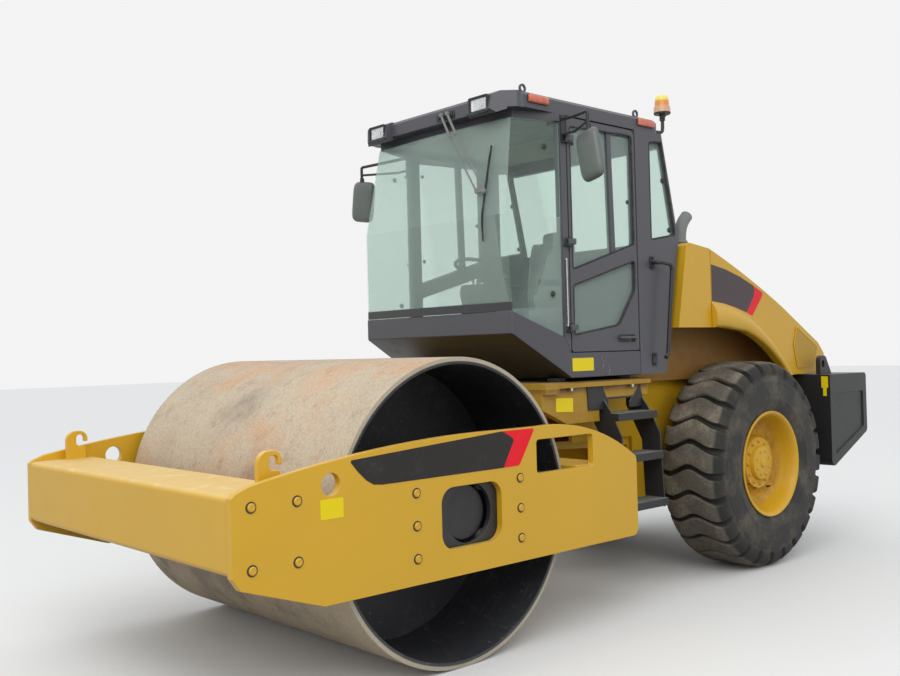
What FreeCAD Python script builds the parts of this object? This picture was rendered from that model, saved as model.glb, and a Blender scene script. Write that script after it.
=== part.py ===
import FreeCAD, Part
import math
import os

# Articulated single drum road roller with a cab, parked straight on level ground.
# Millimetres. +X is forward, +Y is left, +Z is up. The origin lies on the ground,
# half way between the front and the rear of the machine, on its middle plane.

V = FreeCAD.Vector

# Stations along the machine
FRONT_HALF = 1570.0        # drum axle to the steering hinge
REAR_HALF = 1570.0         # steering hinge to the wheel axle
FRONT_REACH = 1395.0       # drum axle to the front face of the front beam
REAR_REACH = 1580.0        # wheel axle to the rear face of the counterweight
OVERALL = FRONT_REACH + FRONT_HALF + REAR_HALF + REAR_REACH
DRUM_X = OVERALL / 2 - FRONT_REACH
HINGE_X = DRUM_X - FRONT_HALF
AXLE_X = HINGE_X - REAR_HALF

# Drum
DRUM_RADIUS = 800.0
DRUM_WIDTH = 2140.0
DRUM_WALL = 38.0
DISC_INSET = 580.0         # from the drum's end to its end disc
DISC_WALL = 40.0
HUB_RADIUS = 170.0         # boss in the middle of each end disc
HUB_LENGTH = 160.0
SPINDLE_RADIUS = 75.0

# Drum frame
PLATE_WALL = 40.0
DRUM_GAP = 60.0            # drum's end to the side plate's inner face
PLATE_IN = DRUM_WIDTH / 2 + DRUM_GAP
PLATE_LOW = 503.0
BEAM_TOP = 1045.0
BEAM_LOW = 700.0
BEAM_DEPTH = 395.0
MOTOR_RADIUS = 190.0
CARRIER_RADIUS = 330.0     # round plate that the buffers carry
BUFFER_LENGTH = 100.0
MOUNT_WALL = 30.0          # bolted plate inside the side plate
CARRIER_OUT = PLATE_IN - MOUNT_WALL - BUFFER_LENGTH
BUFFER_RADIUS = 50.0
BUFFER_RING = 255.0
BUFFER_COUNT = 6
SCRAPER_TABS = (280.0, 840.0)

# Joints
OSC_Z = 700.0              # height of the oscillation axis
HITCH_LOW = 480.0
HITCH_TOP = 930.0
PIN_RADIUS = 55.0
SHAFT_GAP = 0.1            # radial gap between a shaft and its bore
SEAT_GAP = 0.3             # gap between faces that turn against each other
CYL_Z = 700.0
CYL_ANCHOR = (-600.0, 330.0)   # barrel's pin from the steering hinge
CYL_EYE = (100.0, 270.0)       # rod's pin from the steering hinge

# Wheels
TYRE_RADIUS = 750.0
TYRE_WIDTH = 505.0
LUG_COUNT = 24
LUG_DEPTH = 40.0
GROOVE_WIDTH = 36.0
WHEEL_Y = 793.0
BEAD_RADIUS = 318.0
FLANGE_RADIUS = 381.0
RIM_HALF = 222.0           # rim's middle to the inner face of its flange
AXLE_Z = TYRE_RADIUS

# Rear frame
SIDE_Y = 400.0             # inner face of each side member
SIDE_WALL = 30.0
FRAME_LOW = 450.0
FRAME_TOP = 1376.0
WEIGHT_TOP = 1366.0
WEIGHT_HALF = 1000.0
TAIL_Y = (720.0, 900.0)    # rear lamps' pockets in the counterweight
TAIL_Z = (1190.0, 1280.0)
TAIL_DEPTH = 40.0

# Cab, measured from the steering hinge
CAB_HALF = 750.0
CAB_WALL = 45.0
CAB_FLOOR = 1442.0
CAB_ROOF_LOW = 3100.0
CAB_ROOF_TOP = 3200.0
ROOF_HALF = 735.0
ROOF_FRONT = 770.0
ROOF_REAR = -730.0
POD_LOW = 3068.0           # lamp pods at the roof's front corners
POD_FRONT = 820.0
LAMP_X = 790.0             # back of the lamps' pockets
LAMP_Y = (425.0, 575.0)
LAMP_Z = (3092.0, 3180.0)
ROOF_EYES = (630.0, -488.0)
DOOR_FRONT = 290.0
DOOR_REAR = -397.0
DOOR_LOW = 1606.0
DOOR_TOP = 3085.0
DOOR_AXIS = (303.0, CAB_HALF + 22)
DOOR_HINGES = (1760.0, 2300.0, 2950.0)
JAMB_REAR = DOOR_REAR - 10     # rear side panel's front edge
SILL_FRONT = 783.0
GLASS_WALL = 6.0
TOE_START = 286.0          # where the toe board starts to slope, inside
TOE_TOP = 1752.0           # its top at the front wall

# Hood, measured from the wheel axle
HOOD_HALF = 790.0
HOOD_WALL = 30.0
FLARE_WIDTH = 62.0         # raised lip round the wheel arch
FLARE_DEPTH = 28.0
LOUVRE_PITCH = 30.0
RIDGE_BREAK = (-640.0, 0.0, 1910.0)    # the ridge is straight behind here, from the wheel axle
RIDGE_END = (-1190.0, 0.0, 1625.0)
COWL_FRONT = REAR_HALF - 800   # lower front edge of the fixed cowl, just behind the cab
HOOD_FRONT = COWL_FRONT - 415
HOOD_AXIS = (HOOD_FRONT + 33, 2345.0)
EXHAUST_X = COWL_FRONT - 230
EXHAUST_Y = 660.0
EXHAUST_RADIUS = 45.0

parts = {}


def box(x, y, z):
    """Block between the low and high values of x, y and z."""
    return Part.makeBox(x[1] - x[0], y[1] - y[0], z[1] - z[0], V(x[0], y[0], z[0]))


def cylinder(start, axis, radius, length):
    return Part.makeCylinder(radius, length, V(*start), V(*axis))


def ring(start, axis, outer, inner, length):
    return cylinder(start, axis, outer, length).cut(cylinder(start, axis, inner, length))


def corner_arc(before, corner, after, radius):
    """Start, middle and end of the arc that rounds a corner of a path."""
    back = (before - corner).normalize()
    ahead = (after - corner).normalize()
    half = back.getAngle(ahead) / 2
    inward = (back + ahead).normalize()
    centre = corner + inward * (radius / math.sin(half))
    reach = radius / math.tan(half)
    return corner + back * reach, centre - inward * radius, corner + ahead * reach


def path(points, radii, closed):
    """Wire of straight runs with rounded corners, where a radius of 0 keeps the corner."""
    count = len(points)
    edges = []
    last = None
    first = None
    for i, corner in enumerate(points):
        end_point = not closed and i in (0, count - 1)
        if radii[i] and not end_point:
            start, middle, end = corner_arc(points[i - 1], corner, points[(i + 1) % count], radii[i])
        else:
            start, middle, end = corner, None, corner
        if last is not None and last.distanceToPoint(start) > 1e-6:
            edges.append(Part.LineSegment(last, start).toShape())
        if middle is not None:
            edges.append(Part.Arc(start, middle, end).toShape())
        first = first or start
        last = end
    if closed and last.distanceToPoint(first) > 1e-6:
        edges.append(Part.LineSegment(last, first).toShape())
    return Part.Wire(edges)


PLANES = {
    "xz": lambda a, b, level: V(a, level, b),
    "xy": lambda a, b, level: V(a, b, level),
    "yz": lambda a, b, level: V(level, a, b),
}
NORMALS = {"xz": V(0, 1, 0), "xy": V(0, 0, 1), "yz": V(1, 0, 0)}


def slab(corners, plane, low, high):
    """Plate from an outline of (a, b) or (a, b, corner radius), between two levels."""
    points = [PLANES[plane](c[0], c[1], low) for c in corners]
    radii = [c[2] if len(c) > 2 else 0 for c in corners]
    return Part.Face(path(points, radii, True)).extrude(NORMALS[plane] * (high - low))


def tube(points, bend, radius):
    """Round bar along a path, made of straight runs and bends of one radius."""
    points = [V(*p) for p in points]
    start = points[0]
    pieces = []
    for i, corner in enumerate(points[1:-1], 1):
        first, _, last = corner_arc(points[i - 1], corner, points[i + 1], bend)
        into = (corner - points[i - 1]).normalize()
        out = (points[i + 1] - corner).normalize()
        pieces.append(Part.makeCylinder(radius, (first - start).Length, start, into))
        axis = into.cross(out).normalize()
        centre = first + axis.cross(into) * bend
        circle = Part.Face(Part.Wire(Part.makeCircle(radius, first, into)))
        pieces.append(circle.revolve(centre, axis, math.degrees(into.getAngle(out))))
        start = last
    end = points[-1]
    pieces.append(Part.makeCylinder(radius, (end - start).Length, start, (end - start).normalize()))
    return fused(pieces)


def turned(section, start, along):
    """Solid of revolution from (distance, radius) points about a line."""
    wire = Part.makePolygon([V(a, r, 0) for a, r in section + section[:1]])
    body = Part.Face(wire).revolve(V(0, 0, 0), V(1, 0, 0), 360)
    body.Placement = FreeCAD.Placement(start, FreeCAD.Rotation(V(1, 0, 0), V(*along)))
    return body


def mirrored(shape):
    return shape.mirror(V(0, 0, 0), V(0, 1, 0))


def both_sides(shape):
    return [shape, mirrored(shape)]


def fused(shapes):
    return shapes[0].multiFuse(shapes[1:]).removeSplitter()


def moved(corners, dx, dz=0.0):
    """Outline shifted to its station."""
    return [(c[0] + dx, c[1] + dz) + tuple(c[2:]) for c in corners]


# Drum frame

def side_plate():
    """Left side plate: straight below, arched on top, with its three openings."""
    front = FRONT_REACH
    edge = [V(932, 0, PLATE_LOW), V(1356, 0, 645), V(front, 0, 700), V(front, 0, 1035),
            V(1372, 0, 1053), V(1307, 0, 1078)]
    rear = [V(-1345, 0, 975), V(-1350, 0, 950), V(-1350, 0, PLATE_LOW + 45), V(-1305, 0, PLATE_LOW)]
    edges = [Part.LineSegment(a, b).toShape() for a, b in zip(edge, edge[1:])]
    edges.append(Part.Arc(edge[-1], V(650, 0, 1174), V(-200, 0, 1210)).toShape())
    edges.append(Part.LineSegment(V(-200, 0, 1210), V(-500, 0, 1210)).toShape())
    edges.append(Part.Arc(V(-500, 0, 1210), V(-950, 0, 1160), rear[0]).toShape())
    edges += [Part.LineSegment(a, b).toShape() for a, b in zip(rear[:3], rear[1:3])]
    edges.append(Part.Arc(rear[2], V(-1337, 0, PLATE_LOW + 13), rear[3]).toShape())
    edges.append(Part.LineSegment(rear[3], edge[0]).toShape())
    plate = Part.Face(Part.Wire(edges)).extrude(V(0, PLATE_WALL, 0))
    motor_window = slab([(-200, 640, 80), (220, 640, 80), (220, 950, 80), (-200, 950, 80)],
                        "xz", 0, PLATE_WALL)
    rear_window = slab([(-948, 955, 20), (-475, 955, 20), (-475, 1138, 20), (-948, 1138, 20)],
                       "xz", 0, PLATE_WALL)
    lift_hole = cylinder((885, 0, 1043), (0, 1, 0), 52, PLATE_WALL)
    plate = plate.cut(motor_window).cut(rear_window).cut(lift_hole)
    plate.translate(V(DRUM_X, PLATE_IN, 0))
    return plate


def front_beam():
    rear = FRONT_REACH - BEAM_DEPTH
    beam = slab(moved([(rear, BEAM_LOW, 30), (FRONT_REACH, BEAM_LOW, 30), (FRONT_REACH, BEAM_TOP, 30),
                       (rear, BEAM_TOP, 30)], DRUM_X), "xz", -PLATE_IN, PLATE_IN)
    hook_outline = [(1092, BEAM_TOP), (1206, BEAM_TOP), (1206, 1212, 58), (1080, 1212, 48), (1080, 1148, 7),
                    (1100, 1148, 3), (1100, 1190, 20), (1148, 1190, 20), (1148, 1125, 20), (1092, 1120, 10)]
    hook = slab(moved(hook_outline, DRUM_X), "xz", PLATE_IN - 80, PLATE_IN - 50)
    return fused([beam] + both_sides(hook))


def rear_crossmember():
    """Box beam behind the drum, swept in plan so that it clears the steps at full lock."""
    wide = 640.0
    narrow = 230.0
    front = FRONT_HALF - DRUM_RADIUS - 40
    rear = front - 270
    plan = [(front, -PLATE_IN), (front, PLATE_IN), (rear, PLATE_IN), (rear, wide), (narrow, narrow),
            (narrow, -narrow), (rear, -wide), (rear, -PLATE_IN)]
    body = slab(moved(plan, HINGE_X), "xy", 560, 960)
    bearing = cylinder((HINGE_X + narrow, 0, OSC_Z), (1, 0, 0), 110 + SHAFT_GAP, 220)
    return body.cut(bearing)


def scrapers():
    front = [(812, 712), (960, 690), (FRONT_REACH - 200, 690), (FRONT_REACH - 200, BEAM_LOW), (960, BEAM_LOW),
             (816, 724)]
    tab = [(960, 640), (1010, 640), (1040, BEAM_LOW), (930, BEAM_LOW)]
    blade = slab(moved(front, DRUM_X), "xz", -DRUM_WIDTH / 2 + 30, DRUM_WIDTH / 2 - 30)
    pieces = [slab(moved(tab, DRUM_X), "xz", y - 10, y + 10) for y in (-SCRAPER_TABS[1], -SCRAPER_TABS[0], *SCRAPER_TABS)]
    return fused([blade] + pieces)


def drum_carrier():
    """Left carrier: bolted plate, buffers' carrier disc, travel motor and spindle."""
    low = DRUM_RADIUS - 210
    high = DRUM_RADIUS + 200
    plate = slab(moved([(-420, low, 60), (440, low, 60), (440, high, 60), (-420, high, 60)], DRUM_X),
                 "xz", PLATE_IN - MOUNT_WALL, PLATE_IN)
    plate = plate.cut(cylinder((DRUM_X, PLATE_IN - MOUNT_WALL, DRUM_RADIUS), (0, 1, 0), MOTOR_RADIUS - 35,
                               MOUNT_WALL))
    disc_out = CARRIER_OUT
    carrier = cylinder((DRUM_X, disc_out - 30, DRUM_RADIUS), (0, 1, 0), CARRIER_RADIUS, 30)
    inner_face = DRUM_WIDTH / 2 - DISC_INSET
    hub_out = inner_face + HUB_LENGTH
    motor = cylinder((DRUM_X, hub_out + 20, DRUM_RADIUS), (0, 1, 0), MOTOR_RADIUS, disc_out - 50 - hub_out)
    case = cylinder((DRUM_X, disc_out, DRUM_RADIUS), (0, 1, 0), MOTOR_RADIUS - 50, 90)
    spindle = cylinder((DRUM_X, inner_face, DRUM_RADIUS), (0, 1, 0), SPINDLE_RADIUS,
                       disc_out - 10 - inner_face)
    return plate, fused([carrier, motor, case, spindle])


def drum_buffers():
    """Rubber blocks between the bolted plate and the carrier disc, left side."""
    blocks = []
    for i in range(BUFFER_COUNT):
        angle = 2 * math.pi * i / BUFFER_COUNT
        x = DRUM_X + BUFFER_RING * math.cos(angle)
        z = DRUM_RADIUS + 0.68 * BUFFER_RING * math.sin(angle)
        blocks.append(cylinder((x, CARRIER_OUT, z), (0, 1, 0), BUFFER_RADIUS, BUFFER_LENGTH))
    return blocks


def drum():
    half = DRUM_WIDTH / 2
    shell = ring((DRUM_X, -half, DRUM_RADIUS), (0, 1, 0), DRUM_RADIUS, DRUM_RADIUS - DRUM_WALL, DRUM_WIDTH)
    face = half - DISC_INSET
    pieces = [shell]
    for side in (1, -1):
        start = (DRUM_X, side * face, DRUM_RADIUS)
        pieces.append(cylinder(start, (0, -side, 0), DRUM_RADIUS - DRUM_WALL + 1, DISC_WALL))
        pieces.append(cylinder(start, (0, side, 0), HUB_RADIUS, HUB_LENGTH))
    body = fused(pieces)
    bore = cylinder((DRUM_X, -half, DRUM_RADIUS), (0, 1, 0), SPINDLE_RADIUS + SHAFT_GAP, DRUM_WIDTH)
    return body.cut(bore)


# Hitch and steering cylinders

def hitch():
    """Centre block with its steering pins, ears for the rods and the oscillation spindle."""
    block = slab(moved([(-110, -110, 60), (150, -110), (150, 110), (-110, 110, 60)], HINGE_X), "xy",
                 HITCH_LOW, HITCH_TOP)
    pins = cylinder((HINGE_X, 0, FRAME_LOW - 20), (0, 0, 1), PIN_RADIUS, HITCH_TOP - FRAME_LOW + 75)
    collar = cylinder((HINGE_X + 150, 0, OSC_Z), (1, 0, 0), 170, 230 - 150 - SEAT_GAP)
    spindle = cylinder((HINGE_X + 150, 0, OSC_Z), (1, 0, 0), 110, 270)
    pieces = [block, pins, collar, spindle]
    ear = [(40, -100), (150, -100), (150, CYL_EYE[1] + 20, 40), (50, CYL_EYE[1] + 55, 45),
           (40, CYL_EYE[1] - 40, 20)]
    for z in (CYL_Z - 62, CYL_Z + 37):
        pieces += both_sides(slab(moved(ear, HINGE_X), "xy", z, z + 25))
    return fused(pieces)


def cylinder_line():
    """Rear pin, direction and length of the left steering cylinder at rest."""
    rear = V(HINGE_X + CYL_ANCHOR[0], CYL_ANCHOR[1], CYL_Z)
    eye = V(HINGE_X + CYL_EYE[0], CYL_EYE[1], CYL_Z)
    run = eye - rear
    return rear, V(run).normalize(), run.Length


def cylinder_barrel():
    rear, along, _ = cylinder_line()
    # columns: distance from the rear pin, radius
    section = [(34, 0), (34, 26), (70, 26), (70, 52), (470, 52), (470, 28 + SHAFT_GAP), (435, 28 + SHAFT_GAP),
               (435, 42), (78, 42), (78, 0)]
    body = turned(section, rear, along)
    eye = cylinder((rear.x, rear.y, CYL_Z - 30), (0, 0, 1), 46, 60)
    pin = cylinder((rear.x, rear.y, CYL_Z - 40), (0, 0, 1), 22 + SHAFT_GAP, 80)
    return fused([body, eye]).cut(pin)


def cylinder_rod():
    rear, along, length = cylinder_line()
    piston = Part.makeCylinder(42 - SHAFT_GAP, 40, rear + along * 235, along)
    rod = Part.makeCylinder(28, length - 40 - 250, rear + along * 250, along)
    tip = rear + along * length
    eye = cylinder((tip.x, tip.y, CYL_Z - 30), (0, 0, 1), 44, 60)
    hole = cylinder((tip.x, tip.y, CYL_Z - 30), (0, 0, 1), 22, 60)
    return fused([piston, rod, eye]).cut(hole)


# Rear frame

def rear_frame():
    nose_back = HINGE_X - 700
    side = [(nose_back, FRAME_LOW), (nose_back, 990), (HINGE_X - 50, 990), (HINGE_X - 50, FRAME_TOP),
            (AXLE_X - 960, FRAME_TOP), (AXLE_X - 960, 620), (AXLE_X - 420, 620), (AXLE_X - 300, 935, 60),
            (AXLE_X + 300, 935, 60), (AXLE_X + 420, FRAME_LOW)]
    plates = both_sides(slab(side, "xz", SIDE_Y, SIDE_Y + SIDE_WALL))
    bulkhead = box((nose_back - 30, nose_back + 20), (-SIDE_Y, SIDE_Y), (FRAME_LOW, 1150))
    nose = [(-700, -SIDE_Y), (-420, -SIDE_Y), (10, -118), (10, 118), (-420, SIDE_Y), (-700, SIDE_Y)]
    pieces = plates + [bulkhead]
    for low, high in ((FRAME_LOW - 25, HITCH_LOW - SEAT_GAP), (HITCH_TOP + SEAT_GAP, 985)):
        plate = slab(moved(nose, HINGE_X), "xy", low, high)
        pieces += [plate, cylinder((HINGE_X, 0, low), (0, 0, 1), 130, high - low)]
    pieces.append(box((HINGE_X - 700, HINGE_X - 170), (-15, 15), (HITCH_LOW - 10, HITCH_TOP + 10)))
    for x, low, high in ((AXLE_X + 340, 935, 1150), (AXLE_X - 340, 935, 1150), (AXLE_X - 960, 620, 1150)):
        pieces.append(box((x, x + 20), (-SIDE_Y, SIDE_Y), (low, high)))
    anchor = [(-700, 250), (-600, 268, 40), (-540, 330, 40), (-580, SIDE_Y), (-700, SIDE_Y)]
    for z in (CYL_Z - 62, CYL_Z + 37):
        pieces += both_sides(slab(moved(anchor, HINGE_X), "xy", z, z + 25))
    rear, _, _ = cylinder_line()
    pieces += both_sides(cylinder((rear.x, rear.y, CYL_Z - 62), (0, 0, 1), 22, 124))
    body = fused(pieces)
    return body.cut(cylinder((HINGE_X, 0, FRAME_LOW - 30), (0, 0, 1), PIN_RADIUS + SHAFT_GAP, 600))


def rear_axle():
    tube_half = WHEEL_Y - 170
    housing = cylinder((AXLE_X, -tube_half, AXLE_Z), (0, 1, 0), 105, 2 * tube_half)
    # columns: distance along the axle, radius of the differential's case
    case = [(-215, 105), (-150, 160), (-70, 215), (70, 215), (150, 160), (215, 105), (215, 60), (-215, 60)]
    middle = turned(case, V(AXLE_X, 0, AXLE_Z), V(0, 1, 0))
    flanges = both_sides(cylinder((AXLE_X, tube_half - 25, AXLE_Z), (0, 1, 0), 190, 25))
    spindles = both_sides(cylinder((AXLE_X, tube_half, AXLE_Z), (0, 1, 0), 80, 200))
    pads = both_sides(box((AXLE_X - 150, AXLE_X + 150), (SIDE_Y - 40, SIDE_Y + 70), (AXLE_Z + 60, 935)))
    return fused([housing, middle] + flanges + spindles + pads)


def counterweight():
    """Cast block across the rear, cut off below, with a rim, lamp pockets and two lifting lugs."""
    front = REAR_REACH - 620
    side = [(-front, WEIGHT_TOP), (-REAR_REACH, WEIGHT_TOP, 30), (-REAR_REACH, 880, 40),
            (-front - 30, 630, 30), (-front, 680)]
    block = slab(moved(side, AXLE_X), "xz", -WEIGHT_HALF, WEIGHT_HALF)
    panel = [(-front - 60, WEIGHT_TOP - 150, 20), (-REAR_REACH + 60, WEIGHT_TOP - 150, 20),
             (-REAR_REACH + 60, 920, 20), (-front - 60, 720, 20)]
    for low in (WEIGHT_HALF - 12, -WEIGHT_HALF):
        block = block.cut(slab(moved(panel, AXLE_X), "xz", low, low + 12))
    pocket = box((AXLE_X - REAR_REACH, AXLE_X - REAR_REACH + TAIL_DEPTH), TAIL_Y, TAIL_Z)
    for shape in both_sides(pocket):
        block = block.cut(shape)
    lug = [(-front - 5, WEIGHT_TOP), (-front - 5, 1520, 45), (-front - 95, 1520, 50), (-front - 190, WEIGHT_TOP)]
    lug_plate = slab(moved(lug, AXLE_X), "xz", 880, 920)
    slot = slab(moved([(-front - 30, 1420, 20), (-front - 75, 1420, 20), (-front - 75, 1480, 20),
                       (-front - 30, 1480, 20)], AXLE_X), "xz", 880, 920)
    return fused([block] + both_sides(lug_plate.cut(slot)))


def engine():
    block = box((AXLE_X - 560, AXLE_X + 420), (-330, 330), (1150, 1620))
    cover = box((AXLE_X - 480, AXLE_X + 340), (-180, 180), (1620, 1780))
    sump = box((AXLE_X - 300, AXLE_X + 320), (-250, 250), (1000, 1150))
    return fused([block, cover, sump])


def radiator():
    return box((AXLE_X - 930, AXLE_X - 820), (-SIDE_Y, SIDE_Y), (1000, 1690))


def bay_panels():
    """Upright panels between the engine bay and the wheels, above the side members."""
    low = CAB_FLOOR - 8
    front = COWL_FRONT + 250
    back = COWL_FRONT - 45
    outline = [(front, FRAME_TOP), (-955, FRAME_TOP), (-955, 1560), (-560, 1790), (back, 1790), (back, low),
               (front, low)]
    panel = slab(moved(outline, AXLE_X), "xz", SIDE_Y + 90, SIDE_Y + 100)
    foot = box((AXLE_X - 955, AXLE_X + front), (SIDE_Y, SIDE_Y + 100), (FRAME_TOP, FRAME_TOP + 12))
    return both_sides(fused([panel, foot]))


def cab_deck():
    """Box beams under the cab with the four rubber mounts' seats on them."""
    side = [(530, FRAME_TOP), (530, 1250), (300, 1150), (-20, 1150), (-20, 1300), (-540, 1300),
            (-540, FRAME_TOP)]
    beams = both_sides(slab(moved(side, HINGE_X), "xz", 640, 700))
    top = box((HINGE_X - 540, HINGE_X + 530), (-700, 700), (FRAME_TOP, CAB_FLOOR - 26))
    cross = [box((HINGE_X + x, HINGE_X + x + 30), (-640, 640), (1180, FRAME_TOP)) for x in (500, 260)]
    return fused(beams + [top] + cross)


def cab_mounts():
    places = [(x, y) for x in (280, -380) for y in (-600, 600)]
    return [cylinder((HINGE_X + x, y, CAB_FLOOR - 26), (0, 0, 1), 60, 26) for x, y in places]


def step_ladder():
    """Left steps: two slanted stringers and three treads."""
    front_x = HINGE_X - 50
    rear_x = HINGE_X - 470
    outer = [(700, 1300), (760, 1220), (850, 1050), (875, 560)]
    inner = [(720, 560), (700, 1000), (575, 1230), (575, 1300)]
    pieces = [slab(outer + inner, "yz", x, x + 12) for x in (front_x - 12, rear_x)]
    for z, low, high in ((1200, 640, 830), (930, 700, 870), (620, 730, 900)):
        pieces.append(box((rear_x, front_x), (low, high), (z - 50, z)))
    pieces.append(box((rear_x, front_x), (575, 700), (1288, 1300)))
    return fused(pieces)


def exhaust_stack():
    x = AXLE_X + EXHAUST_X
    return tube([(x, EXHAUST_Y, 2300), (x, EXHAUST_Y, 2480), (x - 110, EXHAUST_Y, 2600)], 110, EXHAUST_RADIUS)


# Wheels

def tread_lug(length):
    """One wave-shaped lug of that length round the wheel, standing on +Z, to be cut to the tread's outline."""
    half = TYRE_WIDTH / 2 + 5
    # columns: share of the half width, step round the wheel
    wave = [(-1.0, 20), (-0.6, -18), (0.0, 26), (0.66, -30), (1.0, -24)]
    lower = [V(half * share, step - length / 2, 0) for share, step in wave]
    upper = [V(half * share, step + length / 2, 0) for share, step in reversed(wave)]
    points = lower + upper
    prism = Part.Face(Part.makePolygon(points + points[:1])).extrude(V(0, 0, 300))
    prism.translate(V(0, 0, TYRE_RADIUS - 200))
    return prism


def spun(profile, angle):
    """Profile of (distance, radius) points turned about X through an angle, evenly either side of +Z."""
    wire = Part.makePolygon([V(a, 0, r) for a, r in profile + profile[:1]])
    body = Part.Face(wire).revolve(V(0, 0, 0), V(1, 0, 0), angle)
    body.rotate(V(0, 0, 0), V(1, 0, 0), -angle / 2)
    return body


def both_ends(half_profile):
    """Full profile from its right half, listed from the inside out."""
    return half_profile + [(-a, r) for a, r in reversed(half_profile)]


def tyre():
    """Left tyre: carcass with the tread's lugs standing on it."""
    half = TYRE_WIDTH / 2
    shoulder = TYRE_RADIUS - LUG_DEPTH
    # columns: distance from the tyre's middle, radius
    carcass = both_ends([(RIM_HALF - 5, BEAD_RADIUS), (RIM_HALF, FLANGE_RADIUS + 8), (half, 500), (half - 10, 655),
                         (half - 95, shoulder)])
    envelope = both_ends([(half - 10, 630), (half - 10, 690), (half - 70, TYRE_RADIUS)])
    pitch = 2 * math.pi * TYRE_RADIUS / LUG_COUNT
    lug = tread_lug(pitch - GROOVE_WIDTH).common(spun(envelope, 2.5 * 360 / LUG_COUNT))
    pieces = [spun(carcass, 360)]
    for i in range(LUG_COUNT):
        copy = lug.copy()
        copy.rotate(V(0, 0, 0), V(1, 0, 0), 360 * i / LUG_COUNT)
        pieces.append(copy)
    body = fused(pieces)
    body.rotate(V(0, 0, 0), V(0, 0, 1), 90)
    body.translate(V(AXLE_X, WHEEL_Y, AXLE_Z))
    return body


def rim():
    """Left rim: barrel with flanges, dished disc and hub cover, bored for the axle's spindle."""
    half = RIM_HALF
    bead = BEAD_RADIUS
    # columns: distance from the rim's middle, outwards positive; radius
    section = [(-half, bead), (half, bead), (half, FLANGE_RADIUS), (half + 14, FLANGE_RADIUS),
               (half + 14, bead - 14), (150, bead - 22), (95, bead - 60), (62, 200), (88, 178), (118, 172),
               (118, 112), (160, 104), (160, 0),
               (-160, 0), (-160, 150), (20, 150), (45, 180), (100, bead - 30), (-half - 14, bead - 14),
               (-half - 14, FLANGE_RADIUS), (-half, FLANGE_RADIUS)]
    middle = V(AXLE_X, WHEEL_Y, AXLE_Z)
    bore = cylinder((AXLE_X, WHEEL_Y - 200, AXLE_Z), (0, 1, 0), 80 + SHAFT_GAP, 240)
    return turned(section, middle, V(0, 1, 0)).cut(bore)


# Cab

def cab_plan(inset, low, high):
    """Cab's outline from above, narrower towards the sill, as a slab."""
    plan = [(SILL_FRONT - inset, 709 - inset, 20), (352, CAB_HALF - inset), (-1000, CAB_HALF - inset),
            (-1000, -CAB_HALF + inset), (352, -CAB_HALF + inset), (SILL_FRONT - inset, -709 + inset, 20)]
    return slab(moved(plan, HINGE_X), "xy", low, high)


def toe_height(x):
    """Height of the sloping toe board's upper face, x from the steering hinge."""
    return CAB_FLOOR + CAB_WALL + (x - TOE_START) * (TOE_TOP - CAB_FLOOR - CAB_WALL) / (
        SILL_FRONT - CAB_WALL - TOE_START)


def cab_tub():
    """Floor, sloping toe and sill of the cab."""
    outer = [(SILL_FRONT, 1726), (SILL_FRONT, 1865), (352, 1700), (300, DOOR_LOW - 6), (JAMB_REAR, DOOR_LOW - 6),
             (JAMB_REAR, CAB_FLOOR), (300, CAB_FLOOR)]
    wall = CAB_WALL
    inner = [(SILL_FRONT - wall, TOE_TOP), (SILL_FRONT - wall, 1900), (JAMB_REAR, 1900), (JAMB_REAR, CAB_FLOOR + wall),
             (TOE_START, CAB_FLOOR + wall)]
    body = slab(moved(outer, HINGE_X), "xz", -CAB_HALF, CAB_HALF).common(cab_plan(0, 1400, 1900))
    hollow = slab(moved(inner, HINGE_X), "xz", -CAB_HALF, CAB_HALF).common(cab_plan(wall, 1400, 1950))
    floor = box((HINGE_X - 650, HINGE_X + JAMB_REAR), (-CAB_HALF + wall, CAB_HALF - wall),
                (CAB_FLOOR, CAB_FLOOR + wall))
    return fused([body.cut(hollow), floor])


def cab_frame():
    """Pillars, rear side panels, rear wall and roof rails."""
    pillar = [(300, DOOR_LOW - 6), (352, 1700), (352, CAB_ROOF_LOW), (300, CAB_ROOF_LOW)]
    front_pillar = slab(moved(pillar, HINGE_X), "xz", CAB_HALF - 50, CAB_HALF)
    panel = [(JAMB_REAR, CAB_FLOOR), (-694, CAB_FLOOR), (-880, 2370, 20), (-710, CAB_ROOF_LOW),
             (JAMB_REAR, CAB_ROOF_LOW)]
    rear_side = slab(moved(panel, HINGE_X), "xz", CAB_HALF - CAB_WALL, CAB_HALF)
    rear_side = rear_side.cut(slab(moved(QUARTER_WINDOW, HINGE_X), "xz", CAB_HALF - CAB_WALL, CAB_HALF))
    rail = box((HINGE_X - 710, HINGE_X + 354), (CAB_HALF - 110, CAB_HALF - 50), (3040, CAB_ROOF_LOW))
    sill_rail = box((HINGE_X + JAMB_REAR, HINGE_X + 310), (CAB_HALF - 110, CAB_HALF - 50), (DOOR_LOW - 6 - 40, DOOR_LOW - 6))
    pieces = both_sides(front_pillar) + both_sides(rear_side) + both_sides(rail)
    inside = CAB_HALF - CAB_WALL
    wall = [(-694, CAB_FLOOR), (-880, 2370), (-836, 2370), (-650, CAB_FLOOR)]
    header = [(-732, 3005), (-710, CAB_ROOF_LOW), (-660, CAB_ROOF_LOW), (-686, 3005)]
    for outline in (wall, header):
        pieces.append(slab(moved(outline, HINGE_X), "xz", -inside, inside))
    front = [(630, 3050), (672, 3050), (668, CAB_ROOF_LOW), (630, CAB_ROOF_LOW)]
    pieces.append(slab(moved(front, HINGE_X), "xz", -642, 642))
    link = [(354, CAB_HALF - 60), (640, 590), (640, 642), (354, CAB_HALF)]
    pieces += both_sides(slab(moved(link, HINGE_X), "xy", 3050, CAB_ROOF_LOW))
    return fused(pieces)


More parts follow.
